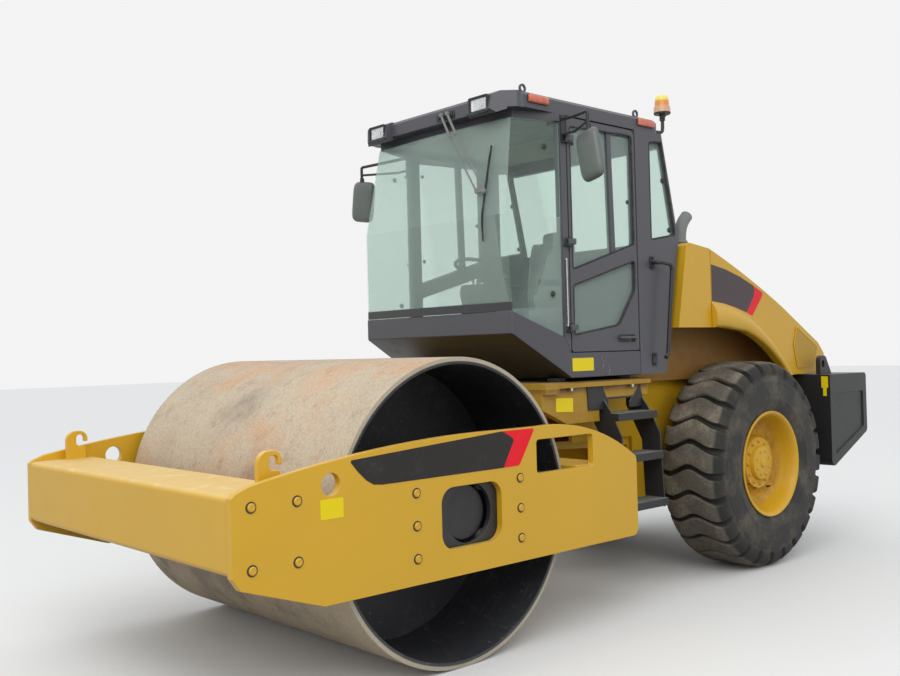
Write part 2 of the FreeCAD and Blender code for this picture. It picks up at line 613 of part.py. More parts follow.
def cab_roof():
    """Roof shell with a lamp pod at each front corner, a rolled edge and four lifting eyes."""
    plan = [(ROOF_FRONT, 600, 40), (655, ROOF_HALF, 60), (ROOF_REAR, ROOF_HALF, 80), (ROOF_REAR, -ROOF_HALF, 80),
            (655, -ROOF_HALF, 60), (ROOF_FRONT, -600, 40)]
    plan = moved(plan, HINGE_X)
    shell = slab(plan, "xy", CAB_ROOF_LOW, CAB_ROOF_TOP)
    crown = shell.makeChamfer(22, [e for e in shell.Edges if e.BoundBox.ZMin > CAB_ROOF_TOP - 1])
    pieces = [crown]
    # columns: distance from the hinge, height
    pod_side = [(740, CAB_ROOF_LOW), (740, POD_LOW + 20), (POD_FRONT - 30, POD_LOW), (POD_FRONT, POD_LOW + 25),
                (POD_FRONT - 14, CAB_ROOF_TOP - 20), (POD_FRONT - 50, CAB_ROOF_TOP), (ROOF_FRONT - 100, CAB_ROOF_TOP),
                (ROOF_FRONT - 100, CAB_ROOF_LOW)]
    pod_plan = slab(moved([(600, 380), (830, 400), (830, 592, 40), (690, 722, 40), (600, 722)], HINGE_X), "xy",
                    POD_LOW - 10, CAB_ROOF_TOP + 10)
    pod = slab(moved(pod_side, HINGE_X), "xz", 300, ROOF_HALF).common(pod_plan)
    pocket = box((HINGE_X + LAMP_X - 2, HINGE_X + 900), LAMP_Y, LAMP_Z)
    pieces += both_sides(pod.cut(pocket))
    for x in ROOF_EYES:
        eye = turned(EYE_SECTION, V(HINGE_X + x, ROOF_HALF - 35, CAB_ROOF_TOP + 22), V(0, 1, 0))
        foot = box((HINGE_X + x - 12, HINGE_X + x + 12), (ROOF_HALF - 41, ROOF_HALF - 29),
                   (CAB_ROOF_TOP - 4, CAB_ROOF_TOP + 2))
        pieces += both_sides(fused([eye, foot]))
    return fused(pieces)


# columns: distance along the eye's axis, radius
EYE_SECTION = [(-6, 16), (6, 16), (6, 28), (-6, 28)]


def pane_section(x_mid, x_edge, y_edge, z):
    """Closed section of the bowed front pane at one height."""
    outer = Part.Arc(V(x_edge, -y_edge, z), V(x_mid, 0, z), V(x_edge, y_edge, z)).toShape()
    back = GLASS_WALL
    inner = Part.Arc(V(x_edge - back, y_edge, z), V(x_mid - back, 0, z), V(x_edge - back, -y_edge, z)).toShape()
    ends = [Part.LineSegment(V(x_edge, y_edge, z), V(x_edge - back, y_edge, z)).toShape(),
            Part.LineSegment(V(x_edge - back, -y_edge, z), V(x_edge, -y_edge, z)).toShape()]
    return Part.Wire([outer, ends[0], inner, ends[1]])


# columns: height, front of the pane on the middle plane, its edge, half width (from the hinge)
PANE = [(1865, 790, 775, 700), (2450, 815, 790, 682), (3050, 713, 686, 643)]
PANE_LOW = 1866.0          # lower edge of the side pane, above the sill


def windshield():
    return Part.makeLoft([pane_section(HINGE_X + mid, HINGE_X + edge, half, z) for z, mid, edge, half in PANE],
                         True, True)


def front_side_glass():
    """Left pane between the front pane and the door's pillar."""
    pillar_x = HINGE_X + 356
    pillar_y = CAB_HALF - 12
    wall = GLASS_WALL
    wires = []
    for z, _, edge, half in PANE:
        front_x = HINGE_X + edge - wall - 2
        low = max(z, PANE_LOW)
        corners = [V(pillar_x, pillar_y, low), V(front_x, half, low), V(front_x, half - wall, low),
                   V(pillar_x, pillar_y - wall, low)]
        wires.append(Part.makePolygon(corners + corners[:1]))
    pane = Part.makeLoft(wires, True, True)
    wedge = slab(moved([(356, 1704), (760, 1858), (760, PANE_LOW), (356, PANE_LOW)], HINGE_X), "xz", 600, 800)
    strip = slab(moved([(356, pillar_y), (760, 702), (760, 702 - wall), (356, pillar_y - wall)], HINGE_X),
                 "xy", 1690, 1900)
    return fused([pane, wedge.common(strip)])


def rear_glass():
    side = slab(moved(QUARTER_WINDOW, HINGE_X), "xz", CAB_HALF - 28, CAB_HALF - 22)
    back = [(-874, 2370), (-726, 3005), (-720, 3005), (-868, 2370)]
    middle = slab(moved(back, HINGE_X), "xz", -CAB_HALF + CAB_WALL, CAB_HALF - CAB_WALL)
    return both_sides(side) + [middle]


QUARTER_WINDOW = [(-565, 2360, 20), (-845, 2408, 20), (-706, 3050, 20), (-565, 3030, 20)]
UPPER_WINDOW = [(262, 2126, 20), (-372, 2318, 20), (-372, 3050, 25), (262, 3030, 25)]
LOWER_WINDOW = [(262, 1712, 15), (-190, 1775, 110), (-368, 2010, 130), (-372, 2208, 20), (262, 2026, 20)]


DIVIDER = [(-140, 2235), (-182, 2250), (-160, 3060), (-118, 3060)]


def door():
    frame = slab(moved([(DOOR_FRONT, DOOR_LOW, 20), (DOOR_REAR, DOOR_LOW, 20), (DOOR_REAR, DOOR_TOP, 40),
                        (DOOR_FRONT, DOOR_TOP, 40)], HINGE_X), "xz", CAB_HALF - CAB_WALL, CAB_HALF)
    for window in (UPPER_WINDOW, LOWER_WINDOW):
        frame = frame.cut(slab(moved(window, HINGE_X), "xz", CAB_HALF - CAB_WALL, CAB_HALF))
    divider = slab(moved(DIVIDER, HINGE_X), "xz", CAB_HALF - CAB_WALL, CAB_HALF - 10)
    handle = tube([(HINGE_X - 180, CAB_HALF - 2, 1690), (HINGE_X - 180, CAB_HALF + 32, 1690),
                   (HINGE_X - 340, CAB_HALF + 32, 1690), (HINGE_X - 340, CAB_HALF - 2, 1690)], 15, 8)
    pieces = [frame, divider, handle]
    for z in DOOR_HINGES:
        arm = box((HINGE_X + 250, HINGE_X + DOOR_AXIS[0] - 7), (CAB_HALF, CAB_HALF + 24), (z - 18, z + 18))
        pieces += [arm, cylinder((HINGE_X + DOOR_AXIS[0], DOOR_AXIS[1], z - 18), (0, 0, 1), 18, 36)]
    body = fused(pieces)
    for z in DOOR_HINGES:
        body = body.cut(cylinder((HINGE_X + DOOR_AXIS[0], DOOR_AXIS[1], z - 19), (0, 0, 1), 10 + SHAFT_GAP, 38))
    return body


def door_glass():
    panes = [slab(moved(UPPER_WINDOW, HINGE_X), "xz", CAB_HALF - 28, CAB_HALF - 22),
             slab(moved(LOWER_WINDOW, HINGE_X), "xz", CAB_HALF - 28, CAB_HALF - 22)]
    return [panes[0].cut(slab(moved(DIVIDER, HINGE_X), "xz", CAB_HALF - CAB_WALL, CAB_HALF)), panes[1]]


def door_hinges():
    """Left pillar's brackets and pins that carry the door."""
    pieces = []
    for z in DOOR_HINGES:
        bracket = box((HINGE_X + 301, HINGE_X + 340), (CAB_HALF, CAB_HALF + 36), (z - 34, z - 18 - SEAT_GAP))
        pin = cylinder((HINGE_X + DOOR_AXIS[0], DOOR_AXIS[1], z - 34), (0, 0, 1), 10, 60)
        collar = cylinder((HINGE_X + DOOR_AXIS[0], DOOR_AXIS[1], z - 34), (0, 0, 1), 18, 16 - SEAT_GAP)
        pieces.append(fused([bracket, collar, pin]))
    return pieces


def seat():
    base = box((HINGE_X - 330, HINGE_X + 10), (-200, 200), (1487, 1800))
    cushion = slab(moved([(-380, 1800, 20), (120, 1800, 40), (120, 1920, 40), (-380, 1900, 20)], HINGE_X), "xz",
                   -250, 250)
    back = slab(moved([(-330, 1880, 30), (-380, 1880, 20), (-520, 2480, 50), (-400, 2490, 50)], HINGE_X), "xz",
                -240, 240)
    arms = both_sides(box((HINGE_X - 330, HINGE_X + 60), (250, 310), (2060, 2110)))
    posts = both_sides(box((HINGE_X - 300, HINGE_X - 240), (240, 300), (1850, 2070)))
    return fused([base, cushion, back] + arms + posts)


def console():
    """Steering column with its wheel and the instrument box."""
    column = slab(moved([(335, toe_height(335)), (475, toe_height(475)), (455, 2080, 30), (335, 2080, 30)], HINGE_X),
                  "xz", -110, 110)
    grip = [(14, 181), (6, 190 + 8), (-6, 190 + 8), (-14, 190), (-6, 174), (6, 174)]
    wheel = turned(grip, V(HINGE_X + 330, 0, 2180), V(-0.35, 0, 1))
    stem = Part.makeCylinder(25, 130, V(HINGE_X + 375, 0, 2060), V(-0.35, 0, 1))
    spokes = [Part.makeCylinder(10, 190, V(HINGE_X + 330, 0, 2180), V(*d))
              for d in ((0, 1, 0), (0, -1, 0), (-1, 0, -0.35))]
    return fused([column, wheel, stem] + spokes)


def lamps():
    """Work lamps in the roof pods' pockets."""
    x = (HINGE_X + LAMP_X - 2, HINGE_X + POD_FRONT - 4)
    y = (LAMP_Y[0] + SEAT_GAP, LAMP_Y[1] - SEAT_GAP)
    z = (LAMP_Z[0] + SEAT_GAP, LAMP_Z[1] - SEAT_GAP)
    return both_sides(box(x, y, z))


def marker_lamps():
    """Amber markers on the roof's sides."""
    pieces = []
    for x in (536.0, -549.0):
        block = box((HINGE_X + x - 90, HINGE_X + x + 90), (ROOF_HALF, ROOF_HALF + 24), (3132, 3186))
        pieces += both_sides(block)
    return pieces


def tail_lamps():
    """Lamps in the pockets of the counterweight's rear face."""
    y = (TAIL_Y[0] + SEAT_GAP, TAIL_Y[1] - SEAT_GAP)
    z = (TAIL_Z[0] + SEAT_GAP, TAIL_Z[1] - SEAT_GAP)
    return both_sides(box((AXLE_X - REAR_REACH + 4, AXLE_X - REAR_REACH + TAIL_DEPTH), y, z))


def beacon():
    x = HINGE_X - 885
    y = 640.0
    pole = tube([(HINGE_X - 730, y, 3150), (x, y, 3150), (x, y, 3290)], 40, 14)
    cap = cylinder((x, y, 3284), (0, 0, 1), 61, 62)
    dome = cylinder((x, y, 3345), (0, 0, 1), 51, 80)
    return fused([pole, cap, dome])


def mirror_left():
    """Head on a bent tube from the pillar, with a second tube below it."""
    y = 1130.0
    x = HINGE_X + 524
    root = HINGE_X + 340
    elbow = CAB_HALF + 130
    arm = tube([(root, CAB_HALF, 3062), (root, elbow, 3062), (x - 20, y, 3030), (x - 20, y, 2800)], 40, 11)
    stay = tube([(root, CAB_HALF, 2968), (root, elbow, 2968), (x - 20, y, 2968)], 40, 9)
    head = slab([(y - 135, 2620, 60), (y + 95, 2620, 60), (y + 95, 2915, 60), (y - 135, 2915, 60)], "yz",
                x - 55, x - 10)
    return fused([arm, stay, head])


# columns: distance across the roof's front, then the rod's lower end across and up
WIPER_RODS = [(128.0, 455.0, 2610.0), (186.0, 512.0, 2627.0)]


def wiper():
    """Plate on the roof's front edge, two rods, the bar across their ends and the blade."""
    x = HINGE_X
    pieces = [box((x + ROOF_FRONT, x + ROOF_FRONT + 22), (70, 240), (3108, 3160))]
    for top_y, low_y, low_z in WIPER_RODS:
        start = V(x + ROOF_FRONT + 14, top_y, 3145)
        end = V(x + 808, low_y, low_z)
        pieces.append(Part.makeCylinder(6, (end - start).Length, start, end - start))
    pieces.append(box((x + 785, x + 818), (440, 532), (2590, 2642)))
    pieces.append(tube([(x + 736, 528, 2889), (x + 814, 511, 2450), (x + 809, 505, 2296)], 100, 7))
    return fused(pieces)


def grab_rails():
    y = CAB_HALF
    return tube([(HINGE_X - 560, y, 2200), (HINGE_X - 560, y + 70, 2200), (HINGE_X - 700, y + 70, 2190),
                 (HINGE_X - 620, y + 70, 1560), (HINGE_X - 560, y + 70, 1540), (HINGE_X - 560, y, 1540)], 40, 14)


# Hood

def hood_outline():
    """Hood's outer outline from the side, from the wheel axle: ridge, rear face and wheel arch."""
    top = [V(HOOD_FRONT, 0, 2322), V(-150, 0, 2129), V(*RIDGE_BREAK)]
    tail = V(*RIDGE_END)
    low = [V(-1285, 0, 1530), V(-1150, 0, 1374), V(-640, 0, 1374)]
    arch = [V(-390, 0, 1573), V(-40, 0, 1723), V(HOOD_FRONT - 115, 0, 1755), V(HOOD_FRONT, 0, 1755)]
    edges = [Part.Arc(*top).toShape(),
             Part.LineSegment(top[2], tail).toShape(),
             Part.LineSegment(tail, low[0]).toShape(),
             Part.LineSegment(low[0], low[1]).toShape(),
             Part.LineSegment(low[1], low[2]).toShape(),
             Part.Arc(low[2], arch[0], arch[1]).toShape(),
             Part.LineSegment(arch[1], arch[2]).toShape(),
             Part.LineSegment(arch[2], arch[3]).toShape(),
             Part.LineSegment(arch[3], top[0]).toShape()]
    return Part.Wire(edges)


def wheel_flare():
    """Raised lip that follows the left wheel arch."""
    lip = FLARE_WIDTH
    inner = [V(-640, 0, 1374), V(-390, 0, 1573), V(-40, 0, 1723), V(HOOD_FRONT - 115, 0, 1755),
             V(HOOD_FRONT, 0, 1755)]
    outer = [V(-640 - lip, 0, 1374), V(-390 - 0.6 * lip, 0, 1573 + 0.75 * lip), V(-55, 0, 1723 + lip),
             V(HOOD_FRONT - 120, 0, 1755 + lip), V(HOOD_FRONT, 0, 1755 + lip)]
    edges = [Part.Arc(*inner[:3]).toShape(),
             Part.LineSegment(inner[2], inner[3]).toShape(),
             Part.LineSegment(inner[3], inner[4]).toShape(),
             Part.LineSegment(inner[4], outer[4]).toShape(),
             Part.LineSegment(outer[4], outer[3]).toShape(),
             Part.LineSegment(outer[3], outer[2]).toShape(),
             Part.Arc(*reversed(outer[:3])).toShape(),
             Part.LineSegment(outer[0], inner[0]).toShape()]
    flare = Part.Face(Part.Wire(edges)).extrude(V(0, FLARE_DEPTH, 0))
    flare.translate(V(AXLE_X, HOOD_HALF, 0))
    return flare


def hood():
    outer = Part.Face(hood_outline()).extrude(V(0, 2 * HOOD_HALF, 0))
    outer.translate(V(AXLE_X, -HOOD_HALF, 0))
    wall = HOOD_WALL
    top = [V(HOOD_FRONT + 10, 0, 2322 - wall + 3), V(-420, 0, 2012 - wall - 4), V(-1175, 0, 1625 - wall)]
    low = [V(-1240, 0, 1530), V(-1110, 0, 1360), V(HOOD_FRONT + 10, 0, 1360)]
    edges = [Part.Arc(*top).toShape()]
    loop = [top[2], low[0], low[1], low[2], top[0]]
    edges += [Part.LineSegment(a, b).toShape() for a, b in zip(loop, loop[1:])]
    inner = Part.Face(Part.Wire(edges)).extrude(V(0, 2 * (HOOD_HALF - wall), 0))
    inner.translate(V(AXLE_X, -HOOD_HALF + wall, 0))
    body = outer.cut(inner)
    axis = HOOD_AXIS
    knuckles = []
    for y in (-500, 500):
        arm = box((AXLE_X + axis[0] - 60, AXLE_X + axis[0]), (y - 30, y + 30), (axis[1] - 30, axis[1] + 14))
        knuckles += [arm, cylinder((AXLE_X + axis[0], y - 30, axis[1]), (0, 1, 0), 20, 60)]
    body = fused([body] + knuckles + both_sides(wheel_flare()))
    bore = cylinder((AXLE_X + axis[0], -560, axis[1]), (0, 1, 0), 10 + SHAFT_GAP, 1120)
    return body.cut(bore)


def cowl():
    """Fixed part of the hood behind the cab, with the tilting hood's hinge pins."""
    front = COWL_FRONT
    rear = HOOD_FRONT + 8
    hinge_rear = HOOD_FRONT + 60
    wall = HOOD_WALL
    outer = slab(moved([(front, 1755), (front - 120, 2360, 40), (rear, 2326), (rear, 1755)], AXLE_X), "xz",
                 -HOOD_HALF, HOOD_HALF)
    inner = slab(moved([(front - wall + 11, 1700), (front - wall - 114, 2330, 20), (rear - 10, 2297),
                        (rear - 10, 1700)], AXLE_X), "xz", -HOOD_HALF + wall, HOOD_HALF - wall)
    pipe_hole = cylinder((AXLE_X + EXHAUST_X, EXHAUST_Y, 2200), (0, 0, 1), EXHAUST_RADIUS + SEAT_GAP, 300)
    pieces = [outer.cut(inner).cut(pipe_hole)]
    for y in (-500, 500):
        recess = box((AXLE_X + rear - 20, AXLE_X + hinge_rear), (y - 60, y + 60), (2250, 2400))
        pieces[0] = pieces[0].cut(recess)
        for side in (-1, 1):
            mid = y + side * 40
            pieces.append(box((AXLE_X + HOOD_AXIS[0] - 14, AXLE_X + hinge_rear + 40), (mid - 8, mid + 8),
                              (HOOD_AXIS[1] - 40, HOOD_AXIS[1] + 14)))
        pieces.append(cylinder((AXLE_X + HOOD_AXIS[0], y - 48, HOOD_AXIS[1]), (0, 1, 0), 10, 96))
    seat_rail = box((AXLE_X + hinge_rear + 20, AXLE_X + front - 50), (SIDE_Y + 100, HOOD_HALF - wall), (1765, 1780))
    return fused(pieces + both_sides(seat_rail))


def louvre_panel(outline, slot_low, slot_high, low, high):
    """Vent panel cut by level slots, between two levels across the machine."""
    panel = slab(moved(outline, AXLE_X), "xz", low, high)
    left = min(c[0] for c in outline) + 60
    right = max(c[0] for c in outline) - 60
    z = slot_low
    while z < slot_high:
        lean = (z - slot_low) * 0.25
        panel = panel.cut(box((AXLE_X + left + lean, AXLE_X + right - lean * 0.2), (low, high), (z, z + 14)))
        z += LOUVRE_PITCH
    return panel


def ridge_grille():
    """Grille over the radiator: a frame on the hood's slope with bars across it."""
    start = V(*RIDGE_END)
    slope = V(*RIDGE_BREAK) - start
    run = slope.Length
    along = V(slope).normalize()
    out = V(-along.z, 0, along.x)

    def plate(low, high, half, top):
        corners = [start + along * low, start + along * high, start + along * high + out * top,
                   start + along * low + out * top]
        return slab([(c.x + AXLE_X, c.z) for c in corners], "xz", -half, half)

    pieces = [plate(20, run - 60, 420, 12).cut(plate(55, run - 95, 385, 12))]
    place = 70.0
    while place < run - 110:
        pieces.append(plate(place, place + 12, 390, 9))
        place += LOUVRE_PITCH
    return fused(pieces)


def grilles():
    """Louvred vent panels on the hood's sides near its rear end, and the grille on its slope."""
    outline = [(-830, 1760), (-780, 1610), (-830, 1425), (-1110, 1438), (-1160, 1590)]
    return both_sides(louvre_panel(outline, 1470, 1700, HOOD_HALF, HOOD_HALF + 6)) + [ridge_grille()]


plate = side_plate()
parts["side_plate_left"] = plate
parts["side_plate_right"] = mirrored(plate)
parts["front_beam"] = front_beam()
parts["rear_crossmember"] = rear_crossmember()
parts["scraper"] = scrapers()
mount_plate, carrier = drum_carrier()
parts["drum_mount_plates"] = Part.makeCompound(both_sides(mount_plate))
parts["travel_motor_left"] = carrier
parts["travel_motor_right"] = mirrored(carrier)
blocks = drum_buffers()
parts["drum_buffers"] = Part.makeCompound(blocks + [mirrored(b) for b in blocks])
parts["drum"] = drum()
parts["hitch"] = hitch()
barrel = cylinder_barrel()
rod = cylinder_rod()
parts["steering_barrel_left"] = barrel
parts["steering_barrel_right"] = mirrored(barrel)
parts["steering_rod_left"] = rod
parts["steering_rod_right"] = mirrored(rod)
parts["rear_frame"] = rear_frame()
parts["rear_axle"] = rear_axle()
parts["counterweight"] = counterweight()
parts["engine"] = engine()
parts["radiator"] = radiator()
parts["bay_panels"] = Part.makeCompound(bay_panels())
parts["cab_deck"] = cab_deck()
parts["cab_mounts"] = Part.makeCompound(cab_mounts())
ladder = step_ladder()
parts["steps_left"] = ladder
parts["steps_right"] = mirrored(ladder)
parts["exhaust_stack"] = exhaust_stack()
wheel_tyre = tyre()
wheel_rim = rim()
parts["tyre_left"] = wheel_tyre
parts["tyre_right"] = mirrored(wheel_tyre)
parts["rim_left"] = wheel_rim
parts["rim_right"] = mirrored(wheel_rim)
parts["cab_tub"] = cab_tub()
parts["cab_frame"] = cab_frame()
parts["cab_roof"] = cab_roof()
parts["windshield"] = windshield()
parts["front_side_glass"] = Part.makeCompound(both_sides(front_side_glass()))
parts["rear_glass"] = Part.makeCompound(rear_glass())
left_door = door()
parts["door_left"] = left_door
parts["door_right"] = mirrored(left_door)
panes = door_glass()
parts["door_glass_left"] = Part.makeCompound(panes)
parts["door_glass_right"] = Part.makeCompound([mirrored(p) for p in panes])
hinges = door_hinges()
parts["door_hinges"] = Part.makeCompound(hinges + [mirrored(h) for h in hinges])
parts["seat"] = seat()
parts["console"] = console()
parts["work_lamps"] = Part.makeCompound(lamps())
parts["marker_lamps"] = Part.makeCompound(marker_lamps())
parts["tail_lamps"] = Part.makeCompound(tail_lamps())
parts["beacon"] = beacon()
parts["mirrors"] = Part.makeCompound(both_sides(mirror_left()))
parts["wiper"] = wiper()
parts["grab_rails"] = Part.makeCompound(both_sides(grab_rails()))
parts["cowl"] = cowl()
parts["hood"] = hood()
parts["grilles"] = Part.makeCompound(grilles())

os.makedirs("parts", exist_ok=True)
for name, shape in parts.items():
    shape.exportStep("parts/" + name + ".step")
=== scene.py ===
import math
import bmesh
import bpy
from mathutils import Matrix, Vector


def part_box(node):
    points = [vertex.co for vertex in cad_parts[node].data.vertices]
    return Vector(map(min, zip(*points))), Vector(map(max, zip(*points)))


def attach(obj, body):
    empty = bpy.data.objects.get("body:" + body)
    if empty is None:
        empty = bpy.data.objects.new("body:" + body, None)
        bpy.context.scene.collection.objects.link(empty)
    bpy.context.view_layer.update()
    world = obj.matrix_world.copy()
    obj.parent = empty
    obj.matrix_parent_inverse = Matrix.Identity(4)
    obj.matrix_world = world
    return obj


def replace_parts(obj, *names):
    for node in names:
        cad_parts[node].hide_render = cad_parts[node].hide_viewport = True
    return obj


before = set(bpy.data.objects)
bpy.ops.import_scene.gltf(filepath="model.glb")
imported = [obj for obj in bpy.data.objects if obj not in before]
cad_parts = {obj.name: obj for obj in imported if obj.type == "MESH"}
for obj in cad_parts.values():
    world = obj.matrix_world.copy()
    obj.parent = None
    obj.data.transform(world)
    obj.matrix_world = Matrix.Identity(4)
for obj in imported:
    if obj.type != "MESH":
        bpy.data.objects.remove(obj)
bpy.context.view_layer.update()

bl_info = {
    "name": "Road roller dressing",
    "version": (1, 0, 0),
    "blender": (4, 5, 0),
    "location": "3D View > Sidebar > Roller",
    "description": "Finishes and fittings of a single drum road roller around its solid model",
    "category": "Object",
}

# Places on the machine, in metres: +X forward, +Y left, +Z up
DRUM = Vector((1.6625, 0.0, 0.8))
HINGE_X = 0.0925
AXLE = Vector((-1.4775, 0.0, 0.75))
WHEEL_Y = 0.793
DRUM_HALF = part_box("drum")[1].y
PLATE_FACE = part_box("side_plate_left")[1].y
CAB_HALF = 0.75
HOOD_HALF = 0.79
DECK_HALF = 0.70
STUCK_IN = 0.0005  # how far a stuck-on sheet reaches into what carries it
SIDES = (("left", 1), ("right", -1))
UP = Vector((0, 0, 1))
OUT = Vector((0, 1, 0))
AHEAD = Vector((1, 0, 0))

PLANES = {
    "xz": lambda a, b, level: Vector((a, level, b)),
    "xy": lambda a, b, level: Vector((a, b, level)),
    "yz": lambda a, b, level: Vector((level, a, b)),
}


def linear(red, green, blue):
    """Colour as the shaders take it, from the usual 0 to 255 values."""
    def channel(value):
        share = value / 255
        return share / 12.92 if share <= 0.04045 else ((share + 0.055) / 1.055) ** 2.4
    return channel(red), channel(green), channel(blue)


def dim(colour, share):
    return tuple(c * share for c in colour)


# Shader maths

class Wire:
    """A value inside a material. Arithmetic on it adds Math nodes."""

    def __init__(self, nodes, socket):
        self.nodes = nodes
        self.socket = socket

    def math(self, operation, *values):
        return self.nodes.node("ShaderNodeMath", {"operation": operation}, dict(enumerate(values)))

    def __add__(self, other):
        return self.math("ADD", self, other)

    def __mul__(self, other):
        return self.math("MULTIPLY", self, other)

    def __sub__(self, other):
        return self.math("SUBTRACT", self, other)

    def __rsub__(self, other):
        return self.math("SUBTRACT", other, self)

    def __pow__(self, other):
        return self.math("POWER", self, other)

    def __abs__(self):
        return self.math("ABSOLUTE", self)

    def __and__(self, other):
        return self.math("MINIMUM", self, other)

    def __or__(self, other):
        return self.math("MAXIMUM", self, other)

    __radd__, __rmul__, __ror__ = __add__, __mul__, __or__

    def root(self):
        return self.math("SQRT", self)

    def wave(self):
        return self.math("SINE", self)

    def between(self, low, high):
        """0 at low and below, 1 at high and above, smooth on the way; low may be the larger one."""
        return self.nodes.node("ShaderNodeMapRange", {"interpolation_type": "SMOOTHSTEP"},
                               {"Value": self, "From Min": low, "From Max": high})


class Nodes:
    """The nodes of a material or of the world in the making."""

    def __init__(self, tree):
        self.tree = tree

    def put(self, socket, value):
        if isinstance(value, Wire):
            self.tree.links.new(value.socket, socket)
        elif socket.type == "RGBA":
            socket.default_value = (*value, 1.0)
        else:
            socket.default_value = value

    def node(self, kind, settings=None, inputs=None, output=0):
        """A node of that type, with its settings first, then the values or links of its sockets."""
        made = self.tree.nodes.new(kind)
        for key, value in (settings or {}).items():
            setattr(made, key, value)
        for key, value in (inputs or {}).items():
            self.put(made.inputs[key], value)
        return Wire(self, made.outputs[output]) if made.outputs else None

    def mix(self, factor, low, high):
        """Colour low where the factor is 0 and high where it is 1."""
        return self.node("ShaderNodeMix", {"data_type": "RGBA"}, {0: factor, 6: low, 7: high}, 2)

    def mix_shaders(self, factor, low, high):
        return self.node("ShaderNodeMixShader", None, {0: factor, 1: low, 2: high})

    def seen(self):
        """1 for what the camera sees, straight, in a reflection or through glass."""
        camera, glossy, passed = (self.node("ShaderNodeLightPath", output=i) for i in (0, 3, 6))
        return camera | glossy | passed

    def place(self, stretch=(1, 1, 1)):
        """The point on the piece, which moves with it, scaled along the axes."""
        at = self.node("ShaderNodeTexCoord", output=3)
        if stretch == (1, 1, 1):
            return at
        return self.node("ShaderNodeVectorMath", {"operation": "MULTIPLY"}, {0: at, 1: stretch})

    def xyz(self):
        at = self.place()
        return [self.node("ShaderNodeSeparateXYZ", None, {0: at}, i) for i in range(3)]

    def radius(self, middle):
        """Distance from a line along Y through the middle."""
        x, _, z = self.xyz()
        return ((x - middle.x) ** 2 + (z - middle.z) ** 2).root()

    def upward(self):
        """How far the face looks up, from -1 to 1."""
        facing = self.node("ShaderNodeTexCoord", output=1)
        return self.node("ShaderNodeSeparateXYZ", None, {0: facing}, 2)

    def noise(self, scale, detail=4.0, rough=0.55, stretch=(1, 1, 1)):
        return self.node("ShaderNodeTexNoise", None,
                         {"Vector": self.place(stretch), "Scale": scale, "Detail": detail, "Roughness": rough})

    def spots(self, scale):
        """Distance from the nearest of many scattered points."""
        return self.node("ShaderNodeTexVoronoi", None, {"Vector": self.place(), "Scale": scale})

    def bump(self, height, depth, strength=1.0):
        return self.node("ShaderNodeBump", None, {"Height": height, "Distance": depth, "Strength": strength})


class Finish(Nodes):
    """A material in the making, and the shader that its nodes feed."""

    def __init__(self, name, **constants):
        self.material = bpy.data.materials.new(name)
        self.material.use_nodes = True
        super().__init__(self.material.node_tree)
        self.shader = self.tree.nodes["Principled BSDF"]
        self.feed(**constants)

    def feed(self, **inputs):
        """Sets or links sockets of the shader; Base_Color stands for Base Color."""
        for key, value in inputs.items():
            self.put(self.shader.inputs[key.replace("_", " ")], value)
        return self.material


def worn_paint(name, colour, dust_colour, dust, gloss, under=None):
    """Sprayed paint with an uneven tone, dust on what faces up, fine dirt and a faint orange peel; where an under
    colour is given, faces that look down take it as painted shade.
    """
    f = Finish(name, IOR=1.5)
    shade = f.mix(f.noise(1.7, 3).between(0.3, 0.75) * 0.16, colour, dim(colour, 0.74))
    # Painted shade: faces that look down turn to the under colour.
    if under:
        shade = f.mix(f.upward().between(-0.25, -0.7), shade, under)
    streaks = f.noise(22.0, 5, 0.6, (1.0, 1.0, 0.12)).between(0.56, 0.8)
    shade = f.mix(streaks * 0.03, shade, dust_colour)
    grime = f.noise(9.0, 8, 0.7).between(0.5, 0.72)
    film = f.upward().between(0.25, 0.95) * (0.45 + 0.55 * grime) * dust
    shade = f.mix(film, shade, dust_colour)
    flecks = (1 - f.spots(55.0).between(0.05, 0.16)) * f.noise(4.0).between(0.48, 0.66)
    shade = f.mix(flecks * 0.22, shade, dim(dust_colour, 0.35))
    peel = f.noise(420.0, 2) * 0.5 + f.noise(14.0, 3) * 0.5
    return f.feed(Base_Color=shade, Roughness=(gloss + film * 0.45 + grime * 0.1) & 0.95,
                  Normal=f.bump(peel, 0.0006, 0.2))


def rim_paint(colours):
    """Yellow paint with rust where water stands in the rim and round the hub."""
    f = Finish("roller rim paint", IOR=1.5)
    _, y, z = f.xyz()
    radius = f.radius(AXLE)
    well = (abs(y) - WHEEL_Y).between(0.13, 0.07)
    grime = f.noise(7.0, 7, 0.7).between(0.42, 0.66)
    shade = f.mix(well * (0.25 + 0.35 * grime), colours.paint, linear(158, 104, 26))
    corner = radius.between(0.20, 0.192) * radius.between(0.176, 0.186) * (AXLE.z - z).between(-0.02, 0.12)
    rust = (corner * 0.8 + well * 0.25) * f.noise(15.0, 8, 0.75).between(0.44, 0.58)
    shade = f.mix(rust & 0.85, shade, linear(112, 52, 22))
    return f.feed(Base_Color=shade, Roughness=0.36 + grime * 0.2 + (rust & 0.3),
                  Normal=f.bump(f.noise(300.0, 2), 0.0005, 0.2))


